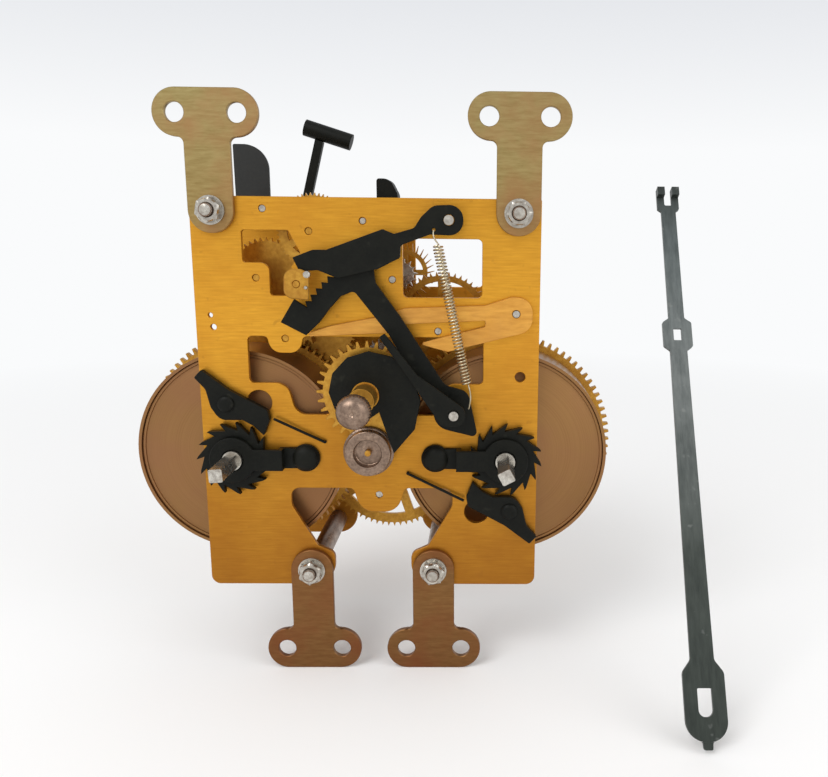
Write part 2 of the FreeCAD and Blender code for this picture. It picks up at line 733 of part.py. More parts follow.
body = newBody("third_arbor", *thirdAt)
arborPads(body, pinion=gear(count("thirdLeaves"), thirdPinionR, thirdPinionPhase),
          pinionSpan=(centreDepth - 0.8, centreDepth + wheel + 0.8))
trainWheel("third_wheel", thirdAt,
           gear(count("thirdTeeth"), thirdR) + windows(5, 4.0, thirdR - 2.9, 2.6, math.radians(20)),
           thirdDepth)

body = newBody("escape_arbor", *escapeAt)
arborPads(body, pinion=gear(count("escapeLeaves"), escapePinionR, escapePinionPhase),
          pinionSpan=(thirdDepth - 0.8, thirdDepth + wheel + 0.8))
escapeStep = 2.0 * math.pi / count("escapeTeeth")
escapeCorners = []
for i in range(count("escapeTeeth")):
    escapeCorners.append(polar(v("escapeRadius") - 2.6, i * escapeStep - 0.24 * escapeStep))
    escapeCorners.append(polar(v("escapeRadius"), i * escapeStep + 0.22 * escapeStep))
    escapeCorners.append(polar(v("escapeRadius"), i * escapeStep + 0.30 * escapeStep))
    escapeCorners.append(polar(v("escapeRadius") - 2.6, i * escapeStep + 0.12 * escapeStep))
trainWheel("escape_wheel", escapeAt,
           outline(escapeCorners) + windows(4, 3.2, v("escapeRadius") - 4.2, 2.0), escapeDepth)

# Striking train: each wheel and arbor turn as one solid piece of brass and steel
def strikeWheel(label, at, teeth, pitch, wheelDepth, leaves, pinionR, phase, span, loops,
                front=pivotProud):
    body = newBody(label, at[0], at[1])
    arborPads(body, pinion=gear(leaves, pinionR, phase), pinionSpan=span, front=front)
    pad(body, gear(teeth, pitch) + loops, -wheelDepth - wheel, "sizes.wheelThickness")


strikeSecondDepth = thirdDepth
strikeWheel("strike_second_wheel", strikeSecondAt, count("strikeSecondTeeth"), strikeSecondR,
            strikeSecondDepth, count("strikeSecondLeaves"), strikePinionR, strikePinionPhase,
            (greatDepth - 0.8, strikeSecondDepth), [])
strikeWheel("pin_wheel", pinWheelAt, count("pinWheelTeeth"), pinWheelR, pinWheelDepth,
            count("pinWheelLeaves"), pinPinionR, pinPinionPhase,
            (strikeSecondDepth - 0.8, strikeSecondDepth + wheel + 0.8), [])
strikeWheel("gathering_wheel", gatheringAt, count("gatheringTeeth"), gatheringR, gatheringDepth,
            count("gatheringLeaves"), gatheringPinionR, gatheringPinionPhase,
            (pinWheelDepth - 0.8, pinWheelDepth + wheel + 0.8), [], front=hookHeight + lever + 1.6)
strikeWheel("warning_wheel", warningAt, count("warningTeeth"), warningR, warningDepth,
            count("warningLeaves"), warningPinionR, warningPinionPhase,
            (gatheringDepth - 0.8, gatheringDepth + wheel + 0.8),
            windows(4, 4.2, warningR - 3.2, 2.4, math.radians(30)))

fly = newBody("fly", *flyAt)
arborPads(fly, pinion=gear(count("flyLeaves"), flyPinionR, flyPinionPhase),
          pinionSpan=(warningDepth - 0.8, warningDepth + wheel + 0.8))
flyStart = gatheringDepth + wheel + 2.0
flyEnd = escapeDepth - 1.5
blade = v("flyBladeReach")
pad(fly, outline([(-blade, -0.4), (blade, -0.4), (blade, 0.4), (-blade, 0.4)]), -flyEnd, flyEnd - flyStart)

# Anchor and crutch of the escapement
anchor = newBody("anchor", *anchorAt)
arborPads(anchor, rear=2.0)
reach = distance(anchorAt, escapeAt)
towardEscape = math.degrees(math.atan2(escapeAt[1] - anchorAt[1], escapeAt[0] - anchorAt[0])) + 90.0
tip = v("escapeRadius") + 0.5
anchorCorners = [
    (0.0, 4.0, 3.0), (5.0, 1.0, 3.0), (tip * 0.70, -reach + tip * 0.80), (tip * 0.50, -reach + tip * 0.92),
    (3.2, -2.2, 2.0), (-3.2, -2.2, 2.0), (-tip * 0.50, -reach + tip * 0.92),
    (-tip * 0.70, -reach + tip * 0.80), (-5.0, 1.0, 3.0),
]
pad(anchor, outline(turned(anchorCorners, towardEscape)[::-1]), -escapeDepth - wheel, "sizes.wheelThickness")
crutch = newBody("crutch", anchorAt[0], anchorAt[1], rearFace)
crutchCorners = [(-2.6, 2.8, 2.4), (-2.2, -44.0, 1.5), (2.2, -44.0, 1.5), (2.6, 2.8, 2.4)]
pad(crutch, outline(crutchCorners) + ring(0, 0, arbor), -1.6, 1.1)

# Rear pieces: suspension cock, corner plate and hammer
cock = newBody("suspension_cock", anchorAt[0], anchorAt[1], rearFace)
cockCorners = [(-2.0, 3.8, 0.5), (5.4, 3.8, 0.5), (5.9, 10.0, 3.0), (3.0, 15.8, 4.0), (-2.0, 15.8, 1.0)]
pad(cock, outline(cockCorners), -9.0, 9.0)
corner = newBody("corner_plate", 0, 0, rearFace)
cornerCorners = [
    (-halfWidth, 46.0, 1.0), (15.0 - halfWidth, 46.0, 1.0), (15.0 - halfWidth, 60.6, 1.0),
    (12.4 - halfWidth, 62.0, 1.0), (12.4 - halfWidth, 81.2, 9.0), (-0.4 - halfWidth, 81.2, 0.6),
]
cornerHole = ring(-topPillarX, topPillarZ, v("nutFlats") / math.sqrt(3.0) + 0.4)
pad(corner, outline(cornerCorners) + cornerHole, -v("cornerThickness"), "sizes.cornerThickness")

hammerArbor = newBody("hammer_arbor", *hammerAt)
arborPads(hammerArbor, rear=7.4)
# The stalk ends on the underside of the head, whose axis leans down to the right
lean = math.radians(17.0)
headOffset = (11.0, 28.0)
underside = v("hammerHeadRadius") + 0.04


def underHead(x):
    return headOffset[1] - (x - headOffset[0]) * math.tan(lean) - underside / math.cos(lean)


stalk = newBody("hammer_stalk", hammerAt[0], hammerAt[1], rearFace + 7.0)
stalkCorners = [
    (-6.5, -3.4, 1.5), (2.5, -3.4, 2.0), (3.4, 2.0, 1.5), (9.2, underHead(9.2)), (6.2, underHead(6.2)),
    (0.4, 3.6, 2.0), (-7.4, 2.6, 1.5),
]
pad(stalk, outline(stalkCorners) + ring(0, 0, arbor), 0.0, 2.6)
headCentre = Vector(hammerAt[0] + headOffset[0], rearFace + 5.7, hammerAt[1] + headOffset[1])
along = Vector(math.cos(lean), 0, -math.sin(lean))
headStart = headCentre - along * (v("hammerHeadLength") / 2.0)
headCylinder = doc.addObject("Part::Cylinder", "hammer_head")
headCylinder.Label = "hammer_head"
headCylinder.setExpression("Radius", "sizes.hammerHeadRadius")
headCylinder.setExpression("Height", "sizes.hammerHeadLength")
headCylinder.Placement = Placement(headStart, Rotation(Vector(0, 0, 1), along))
parts.append(headCylinder)

# Motion work: the cannon pinion and the minute wheel run behind the front plate, the rest before it
cannon = newBody("cannon_pinion")
pad(cannon, gear(count("cannonTeeth"), cannonR, cannonPhase) + ring(0, 0, 1.6),
    -minuteDepth - wheel - 0.3, wheel + 0.6)
minute = newBody("minute_wheel", *motionAt)
pad(minute, gear(count("minuteTeeth"), minuteR), -minuteDepth - wheel, "sizes.wheelThickness")
pad(minute, ring(0, 0, arbor), -minuteDepth - wheel - 0.6, minuteDepth + wheel + 0.6 + cupHeight + 3.2)
pad(minute, gear(count("minutePinionTeeth"), minutePinionR, minutePinionPhase), hourHeight - 0.5,
    cupHeight - hourHeight + 0.5)
cup = newBody("clutch_cup", *motionAt)
pad(cup, ring(0, 0, v("cupRadius")) + ring(0, 0, arbor), cupHeight, 1.0)
pad(cup, ring(0, 0, v("cupRadius") - 0.7) + ring(0, 0, 4.4), cupHeight + 0.9, 2.9)
hour = newBody("hour_wheel")
pad(hour, gear(count("hourTeeth"), hourR, pointed=False) + ring(0, 0, v("pipeBore")), hourHeight,
    "sizes.wheelThickness")
snailTop = snailHeight + v("snailThickness")
pad(hour, ring(0, 0, v("pipeBase")) + ring(0, 0, v("pipeBore")), hourHeight, snailTop - hourHeight)
pad(hour, ring(0, 0, v("pipeRadius")) + ring(0, 0, v("pipeBore")), hourHeight, v("pipeTop") - hourHeight)

# The snail's corners rise evenly and then faster, up to the drop at its end
snail = newBody("snail")
steps = count("snailSteps")
dropAngle = math.radians(-65.0)
snailCorners = [polar(v("snailDropRadius"), dropAngle + math.radians(14.0))]
for i in range(1, steps + 1):
    radius = v("snailLow") + v("snailEvenRise") * i + v("snailLateRise") * (float(i) / steps) ** 6
    snailCorners.append(polar(radius, dropAngle - 2.0 * math.pi * i / steps))
pad(snail, outline(snailCorners[::-1]) + ring(0, 0, v("pipeBase")), snailHeight, "sizes.snailThickness")
nut = newBody("hand_nut")
nutBase = v("handNutReach") - 7.0
pad(nut, ring(0, 0, v("handNutRadius")) + ring(0, 0, 1.6), nutBase, 4.2)
pad(nut, ring(0, 0, v("handNutRadius") - 1.3) + ring(0, 0, 1.6), nutBase + 4.2, 1.4)

# Strike levers: lifting lever below, rack above it and rack hook on top
post = 1.5
liftPost = 1.1
lift = newBody("lifting_lever", *liftAt)
liftCorners = [
    (52.6, 30.2, 5.0), (46.0, 30.6, 3.0), (37.5, 27.8, 3.0), (12.0, 26.7), (5.0, 24.2, 2.0),
    (-12.0, 20.9, 2.0), (-18.9, 18.6, 0.4), (-18.6, 17.4, 0.4), (11.0, 19.0), (11.0, 21.6, 0.8),
    (37.6, 23.0, 0.5), (37.4, 21.0, 0.5), (24.0, 17.6, 1.0), (16.0, 15.4, 0.5), (25.5, 12.8, 1.0),
    (52.6, 19.8, 5.0),
]
localLift = [(p[0] - liftAt[0], p[1] - liftAt[1]) + tuple(p[2:]) for p in liftCorners]
pad(lift, outline(localLift) + ring(0, 0, liftPost + 0.15), liftHeight, lever)

rack = newBody("rack", *rackAt)


def rackPoint(radius, degrees, rounding=0.0):
    """Point of the rack at a distance and an angle over the horizontal from its pivot."""
    x, y = polar(radius, math.radians(180.0 - degrees))
    return (x, y, rounding)


toothPitch = 2.6
firstGap = 35.6
rackEnd = 27.5
rackRoot = v("rackTipRadius") - v("rackToothDepth")
rackInner = rackRoot - v("rackRimWidth")
rackEndRadius = v("rackTipRadius") + v("rackEndRise")
localRack = [rackPoint(rackInner + 1.6, rackEnd), rackPoint(rackEndRadius, rackEnd),
             rackPoint(rackEndRadius, firstGap - 0.2), rackPoint(rackRoot, firstGap)]
for i in range(count("rackTeeth")):
    localRack.append(rackPoint(v("rackTipRadius"), firstGap + (i + 0.5) * toothPitch))
    localRack.append(rackPoint(rackRoot, firstGap + (i + 1) * toothPitch))
rackArm = [
    (2.2, 44.6, 1.0), (3.3, 35.0, 2.0), (10.8, 24.6, 0.0), (24.8, 2.6, 4.0), (32.2, 0.6, 4.0),
    (35.4, -14.4, 1.4), (21.6, -11.0, 5.6), (20.7, -1.4, 3.0), (14.5, 5.6, 2.0), (7.4, 18.6, 0.0),
    (-3.4, 32.4, 1.5),
]
localRack += [(p[0] - rackAt[0], p[1] - rackAt[1], p[2]) for p in rackArm]
for degrees in (46.0, 40.0, 34.0):
    localRack.append(rackPoint(rackInner, degrees))
pad(rack, outline(localRack[::-1]) + ring(0, 0, post + 0.15), rackHeight, lever)
pad(rack, ring(0, 0, v("rackHub")) + ring(0, 0, post + 0.15), rackHeight + lever - 0.1,
    rackTailHeight - rackHeight - lever + 0.1)
tail = newBody("rack_tail", *rackAt)
tailCorners = [
    (3.6, 2.0, 3.4), (3.6, -3.6, 3.4), (-3.6, -3.6, 3.4), (-13.5, 11.0, 0.0), (-22.9, 24.6, 0.5),
    (-21.3, 25.7, 0.5), (-11.2, 12.6, 0.0),
]
pad(tail, outline(tailCorners[::-1]) + ring(0, 0, post + 0.15), rackTailHeight, lever)

hook = newBody("rack_hook", *hookAt)
hookCorners = [
    (30.7, 59.0, 4.3), (21.4, 58.6, 4.0), (17.8, 55.2, 2.0), (15.6, 51.8, 2.0), (9.4, 50.0, 1.0),
    (6.0, 51.4, 1.0), (-11.3, 45.0, 2.0), (-15.4, 45.0, 2.0), (-21.6, 42.6, 0.3), (-19.6, 38.4, 0.5),
    (-14.0, 38.8, 1.0), (-8.0, 36.4, 1.0), (4.3, 39.3, 2.0), (11.2, 42.8, 1.0), (11.4, 46.6, 1.5),
    (20.4, 49.9, 2.0), (30.5, 49.6, 4.3),
]
localHook = [(p[0] - hookAt[0], p[1] - hookAt[1]) + tuple(p[2:]) for p in hookCorners]
springEye = (-4.6, -3.0)
pad(hook, outline(localHook[::-1]) + ring(0, 0, post + 0.15) + ring(springEye[0], springEye[1], 0.55),
    hookHeight, lever)

gathering = newBody("gathering_pallet", *gatheringAt)
gatheringCorners = [(-4.0, -4.2, 2.8), (3.6, -4.9, 0.6), (3.9, 4.6, 3.0), (-3.6, 4.6, 3.0)]
pad(gathering, outline(gatheringCorners) + ring(0, 0, arbor), hookHeight + lever + 0.4, 1.2)

postShapes = []
for (x, z), top, radius in (
        (rackAt, rackTailHeight + lever + 0.9, post), (hookAt, hookHeight + lever + 0.9, post),
        (liftAt, liftHeight + lever + 0.3, liftPost)):
    postShapes.append(rod(x, z, -top, top, radius))
groupFeature("lever_posts", postShapes)

# Tension spring between the rack hook and the rack post, one coil of wire with a hook at each end


def biarc(start, startTangent, end, endTangent):
    """Two arcs, tangent to each other, that leave start and reach end along the given tangents."""
    span = end - start
    both = startTangent + endTangent
    spread = 2.0 * (1.0 - startTangent.dot(endTangent))
    across = span.dot(both)
    arm = (-across + math.sqrt(across * across + spread * span.dot(span))) / spread
    joint = (start + end) * 0.5 + (startTangent - endTangent) * (arm * 0.5)
    arcs = []
    for a, tangent, b, sign in ((start, startTangent, joint, 1.0), (end, endTangent, joint, -1.0)):
        chord = b - a
        away = tangent * sign
        halfTurn = away.getAngle(chord) / 2.0
        direction = (away + chord * (1.0 / chord.Length)).normalize()
        middle = a + direction * (chord.Length / (2.0 * math.cos(halfTurn)))
        arcs.append((a, middle, b) if sign > 0 else (b, middle, a))
    return [Part.Arc(*points).toShape() for points in arcs]


def coil(start, axis, radius, curls, firstSide):
    """Path of a coil in half turns, and points along it for measuring the gap."""
    length = axis.Length
    up = axis * (1.0 / length)
    side = (firstSide - up * firstSide.dot(up)).normalize()
    other = up.cross(side)
    halves = int(round(curls * 2))
    rise = length / halves

    def at(q):
        angle = q * math.pi
        point = start + up * (rise * q)
        point = point + side * (radius * math.cos(angle)) + other * (radius * math.sin(angle))
        tangent = side * (-radius * math.sin(angle)) + other * (radius * math.cos(angle))
        tangent = tangent + up * (rise / math.pi)
        return point, tangent.normalize()

    edges = []
    for q in range(halves):
        a, ta = at(q)
        b, tb = at(q + 1)
        edges += biarc(a, ta, b, tb)
    samples = [at(q / 8.0)[0] for q in range(halves * 8 + 1)]
    return edges, samples, at(0), at(halves)


def leastGap(samples, perTurn, wireRadius):
    least = 1e9
    for i in range(len(samples)):
        for j in range(i + perTurn // 2, min(len(samples), i + perTurn * 3 // 2)):
            least = min(least, samples[i].distanceToPoint(samples[j]))
    return least - 2.0 * wireRadius


coilHeight = hookHeight + lever + 0.35
coilEdges, coilSamples, coilFirst, coilLast = coil(
    Vector(22.7, -coilHeight, 47.0), Vector(9.2, 0, -43.6), v("tensionCoilRadius"),
    count("tensionCurls"), Vector(0, -1, 0))
eyeTop = Vector(hookAt[0] + springEye[0], -hookHeight - lever - 0.1, hookAt[1] + springEye[1])
topStart, topTangent = coilFirst
endPoint, endTangent = coilLast
eyeBottom = Vector(rackAt[0] + 4.6, -coilHeight, rackAt[1] + 1.4)
leadIn = biarc(eyeTop, Vector(0, -0.5, -1).normalize(), topStart, topTangent)
leadOut = biarc(endPoint, endTangent, eyeBottom, Vector(0, 0.5, -1).normalize())
wire = Part.Wire(leadIn + coilEdges + leadOut)
# The wire's section is a hexagon of the same width, square to the path's start
across = Vector(1, 0, 0)
normal = Vector(0, -0.5, -1).normalize()
beside = normal.cross(across)
hexagon = [polar(v("tensionWireRadius"), i * math.pi / 3.0) for i in range(7)]
profile = Part.makePolygon([eyeTop + across * corner[0] + beside * corner[1] for corner in hexagon])
pipe = Part.BRepOffsetAPI.MakePipeShell(wire)
pipe.add(profile)
pipe.build()
pipe.makeSolid()
print("tension spring: least gap between curls %.2f mm" %
      leastGap(coilSamples, 16, v("tensionWireRadius")))
print("tension spring: volume %.2f, section times length %.2f" %
      (pipe.shape().Volume, 1.5 * math.sqrt(3.0) * v("tensionWireRadius") ** 2 * wire.Length))
tension = doc.addObject("Part::Feature", "tension_spring")
tension.Label = "tension_spring"
tension.Shape = pipe.shape()
parts.append(tension)

# Pendulum leader: a strip with two eyes and a forked top, lying back beside the movement
leader = newBody("pendulum_leader")
leaderFoot = Vector(v("leaderX"), -v("leaderFootY"), -v("leaderFootZ"))
leader.Placement = Placement(leaderFoot, Rotation(Vector(1, 0, 0), 90.0 - v("leaderLean")))
strip = v("leaderWidth") / 2.0
top = v("leaderLength")
eye = 131.0
leaderCorners = [
    (-1.3, 0.0, 0.5), (1.3, 0.0, 0.5), (1.5, 2.2, 0.5), (6.3, 2.2, 5.8), (6.3, 21.5, 2.6), (strip, 25.0, 2.0),
    (strip - 0.7, eye - 6.0, 1.0), (5.0, eye - 4.4, 1.0), (5.0, eye + 4.4, 1.0),
    (strip - 0.9, eye + 6.0, 1.0),
    (strip - 1.0, top - 9.0, 0.5), (3.9, top - 8.0, 0.5), (3.9, top), (1.3, top), (1.3, top - 6.5, 0.6),
    (-1.3, top - 6.5, 0.6), (-1.3, top), (-3.9, top), (-3.9, top - 8.0, 0.5), (-strip + 1.0, top - 9.0, 0.5),
    (-strip + 0.9, eye + 6.0, 1.0), (-5.0, eye + 4.4, 1.0), (-5.0, eye - 4.4, 1.0),
    (-strip + 0.7, eye - 6.0, 1.0), (-strip, 25.0, 2.0), (-6.3, 21.5, 2.6), (-6.3, 2.2, 5.8),
    (-1.5, 2.2, 0.5),
]
lowerEye = [(-2.2, 9.0, 2.0), (2.2, 9.0, 2.0), (2.2, 17.0, 0.4), (-2.2, 17.0, 0.4)]
upperEye = [(-1.4, eye - 2.2, 0.3), (1.4, eye - 2.2, 0.3), (1.4, eye + 2.2, 0.3), (-1.4, eye + 2.2, 0.3)]
pad(leader, outline(leaderCorners) + outline(lowerEye) + outline(upperEye), 0.0, "sizes.leaderThickness")
for side in (-1.0, 1.0):
    prong = [(side * 2.6 - 1.3, top - 3.2), (side * 2.6 + 1.3, top - 3.2), (side * 2.6 + 1.3, top),
             (side * 2.6 - 1.3, top)]
    pad(leader, outline(prong), 0.0, 3.4)

doc.recompute()

# Checks and export
triangles = 0
for piece in doc.Objects:
    if "Invalid" in piece.State or "Error" in piece.State:
        raise RuntimeError("failed object " + piece.Label + " " + str(piece.State))
for piece in parts:
    shape = piece.Shape
    if shape.isNull() or not shape.isValid() or not shape.Solids:
        raise RuntimeError("bad shape " + piece.Label)
for piece in parts:
    piece.Shape.exportStep("parts/%s.step" % piece.Label)
    facets = len(piece.Shape.tessellate(0.06)[1])
    triangles += facets
    print("%-24s solids %d volume %10.1f facets %5d" % (
        piece.Label, len(piece.Shape.Solids), piece.Shape.Volume, facets))
print(len(parts), "nodes", triangles, "facets")
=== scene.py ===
import json
import math

import bmesh
import bpy
import numpy as np
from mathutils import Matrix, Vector
from mathutils.geometry import delaunay_2d_cdt


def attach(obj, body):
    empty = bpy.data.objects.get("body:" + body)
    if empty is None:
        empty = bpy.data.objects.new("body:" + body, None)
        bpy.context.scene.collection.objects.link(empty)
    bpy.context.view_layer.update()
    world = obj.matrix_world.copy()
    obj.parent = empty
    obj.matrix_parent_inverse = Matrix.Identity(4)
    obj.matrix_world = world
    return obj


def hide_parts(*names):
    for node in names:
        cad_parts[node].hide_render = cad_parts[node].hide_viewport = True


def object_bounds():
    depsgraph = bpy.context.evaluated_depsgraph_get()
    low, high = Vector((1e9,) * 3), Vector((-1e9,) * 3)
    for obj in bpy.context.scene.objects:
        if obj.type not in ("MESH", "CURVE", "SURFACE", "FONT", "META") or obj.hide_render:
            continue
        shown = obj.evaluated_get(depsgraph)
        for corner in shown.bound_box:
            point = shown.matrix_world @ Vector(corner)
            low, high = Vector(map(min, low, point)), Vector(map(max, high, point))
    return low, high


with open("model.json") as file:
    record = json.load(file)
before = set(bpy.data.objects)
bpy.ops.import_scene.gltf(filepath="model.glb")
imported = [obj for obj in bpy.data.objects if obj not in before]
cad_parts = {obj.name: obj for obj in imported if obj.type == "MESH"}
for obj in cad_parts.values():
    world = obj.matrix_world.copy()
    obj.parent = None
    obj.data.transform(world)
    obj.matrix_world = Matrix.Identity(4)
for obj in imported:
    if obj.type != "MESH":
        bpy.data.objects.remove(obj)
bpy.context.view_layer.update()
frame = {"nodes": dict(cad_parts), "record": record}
bodyOf = {node: body for body, nodes in frame["record"]["behaviour"]["bodies"].items() for node in nodes}
mm = 0.001
print("frame loaded,", len(frame["nodes"]), "nodes")


# Colours are written as they show on a screen, from 0 to 255

def colour(red, green, blue):
    out = []
    for level in (red, green, blue):
        c = level / 255.0
        out.append(c / 12.92 if c <= 0.04045 else ((c + 0.055) / 1.055) ** 2.4)
    return (*out, 1.0)


# Camera, set from the plate corners, the barrels and the arbors' vanishing point

camera = {
    "place": (0.03749, -0.25813, 0.05226),
    "turn": (78.6914, -0.6354, -0.9845),
    "lens": 35.0,
    "shift": (-0.1039, 0.0),
}


def addCamera():
    data = bpy.data.cameras.new("camera")
    data.sensor_width = 36.0
    data.lens = camera["lens"]
    data.shift_x, data.shift_y = camera["shift"]
    data.clip_start, data.clip_end = 0.01, 20.0
    obj = bpy.data.objects.new("camera", data)
    obj.location = camera["place"]
    obj.rotation_euler = [math.radians(a) for a in camera["turn"]]
    bpy.context.scene.collection.objects.link(obj)
    bpy.context.scene.camera = obj


addCamera()
bpy.context.scene.view_settings.view_transform = "Standard"


# Materials: each is a metal with its own grain, stains, wear and turning marks, on Object coordinates; the
# plate, brackets and leader also carry painted light and shade over their height

def nodeTree(name):
    material = bpy.data.materials.new(name)
    material.use_nodes = True
    tree = material.node_tree
    shader = next(n for n in tree.nodes if n.type == "BSDF_PRINCIPLED")
    return material, tree, shader


def objectPoints(tree, scale, place=(0.0, 0.0, 0.0)):
    # Object coordinates through a mapping: point times scale plus place
    points = tree.nodes.new("ShaderNodeTexCoord")
    mapping = tree.nodes.new("ShaderNodeMapping")
    mapping.inputs["Scale"].default_value = scale
    mapping.inputs["Location"].default_value = place
    tree.links.new(points.outputs["Object"], mapping.inputs["Vector"])
    return mapping.outputs["Vector"]


def noise(tree, vector, scale, detail=4.0, roughness=0.55):
    node = tree.nodes.new("ShaderNodeTexNoise")
    node.inputs["Scale"].default_value = scale
    node.inputs["Detail"].default_value = detail
    node.inputs["Roughness"].default_value = roughness
    tree.links.new(vector, node.inputs["Vector"])
    return node.outputs["Fac"]


def ramp(tree, factor, stops):
    node = tree.nodes.new("ShaderNodeValToRGB")
    ends = node.color_ramp.elements
    while len(ends) < len(stops):
        ends.new(0.5)
    for end, (place, tint) in zip(ends, stops):
        end.position = place
        end.color = tint
    tree.links.new(factor, node.inputs["Fac"])
    return node.outputs["Color"]


def spread(tree, factor, low, high, fromLow=0.0, fromHigh=1.0):
    # From one range to another: low + (high - low) * (factor - fromLow) / (fromHigh - fromLow)
    node = tree.nodes.new("ShaderNodeMapRange")
    node.inputs["From Min"].default_value = fromLow
    node.inputs["From Max"].default_value = fromHigh
    node.inputs["To Min"].default_value = low
    node.inputs["To Max"].default_value = high
    tree.links.new(factor, node.inputs["Value"])
    return node.outputs["Result"]


def blendColour(tree, factor, a, b, kind="MIX"):
    node = tree.nodes.new("ShaderNodeMix")
    node.data_type = "RGBA"
    node.blend_type = kind
    for socket, source in ((node.inputs[0], factor), (node.inputs[6], a), (node.inputs[7], b)):
        if isinstance(source, (float, int)):
            socket.default_value = source
        elif isinstance(source, tuple):
            socket.default_value = source
        else:
            tree.links.new(source, socket)
    return node.outputs[2]


def heightPart(tree, low, high):
    # 0 at the height low and 1 at high, in metres along Z
    points = tree.nodes.new("ShaderNodeTexCoord")
    split = tree.nodes.new("ShaderNodeSeparateXYZ")
    tree.links.new(points.outputs["Object"], split.inputs["Vector"])
    return spread(tree, split.outputs["Z"], 0.0, 1.0, low, high)


def bumpFrom(tree, shader, height, strength, distance):
    node = tree.nodes.new("ShaderNodeBump")
    node.inputs["Strength"].default_value = strength
    node.inputs["Distance"].default_value = distance
    tree.links.new(height, node.inputs["Height"])
    tree.links.new(node.outputs["Normal"], shader.inputs["Normal"])


def metal(name, light, dark, stain, metallic, rough, grain=(900.0, 900.0, 900.0), patch=60.0, bump=0.08,
          paintedLightByHeight=None, flecks=None, stainShare=0.5, specular=0.5):
    # Fine grain between light and dark, larger stain patches, painted light and shade as a ramp over the
    # height, and flecks
    material, tree, shader = nodeTree(name)
    fine = noise(tree, objectPoints(tree, grain), 1.0, 3.0, 0.6)
    large = noise(tree, objectPoints(tree, (patch, patch, patch)), 1.0, 5.0, 0.6)
    tint = ramp(tree, fine, [(0.30, dark), (0.68, light)])
    tint = blendColour(tree, spread(tree, large, 0.0, stainShare, 0.42, 0.68), tint, stain)
    if paintedLightByHeight is not None:
        # Painted light and shade: the colour is multiplied by a ramp of tints over the height
        low, high, stops = paintedLightByHeight
        tint = blendColour(tree, 1.0, tint, ramp(tree, heightPart(tree, low, high), stops), "MULTIPLY")
    if flecks is not None:
        share, fleckTint = flecks
        specks = noise(tree, objectPoints(tree, (260.0, 260.0, 260.0), (3.0, 7.0, 1.0)), 1.0, 2.0, 0.5)
        tint = blendColour(tree, spread(tree, specks, 0.0, share, 0.66, 0.74), tint, fleckTint)
    tree.links.new(tint, shader.inputs["Base Color"])
    shader.inputs["Metallic"].default_value = metallic
    shader.inputs["Specular IOR Level"].default_value = specular
    tree.links.new(spread(tree, large, rough - 0.06, rough + 0.10, 0.3, 0.7), shader.inputs["Roughness"])
    bumpFrom(tree, shader, fine, bump, 0.0002)
    return material


def turnedMetal(name, centre, light, dark, stain, metallic, rough, lines=2600.0):
    # Turned on a lathe: its marks are rings about the line through centre along Y
    material, tree, shader = nodeTree(name)
    points = objectPoints(tree, (1.0, 0.0, 1.0), (-centre[0], 0.0, -centre[1]))
    length = tree.nodes.new("ShaderNodeVectorMath")
    length.operation = "LENGTH"
    tree.links.new(points, length.inputs[0])
    join = tree.nodes.new("ShaderNodeCombineXYZ")
    tree.links.new(length.outputs["Value"], join.inputs["X"])
    rings = noise(tree, join.outputs["Vector"], lines, 3.0, 0.7)
    broad = noise(tree, join.outputs["Vector"], 260.0, 2.0, 0.5)
    large = noise(tree, objectPoints(tree, (38.0, 38.0, 38.0)), 1.0, 4.0, 0.55)
    tint = ramp(tree, rings, [(0.30, dark), (0.70, light)])
    tint = blendColour(tree, spread(tree, broad, 0.0, 0.35, 0.4, 0.7), tint, dark)
    tint = blendColour(tree, spread(tree, large, 0.0, 0.6, 0.42, 0.66), tint, stain)
    tree.links.new(tint, shader.inputs["Base Color"])
    shader.inputs["Metallic"].default_value = metallic
    tree.links.new(spread(tree, rings, rough - 0.08, rough + 0.10, 0.3, 0.7), shader.inputs["Roughness"])
    bumpFrom(tree, shader, rings, 0.10, 0.0001)
    return material


barrelCentre = {"strike": (-0.0444, -0.0230), "time": (0.0444, -0.0230)}

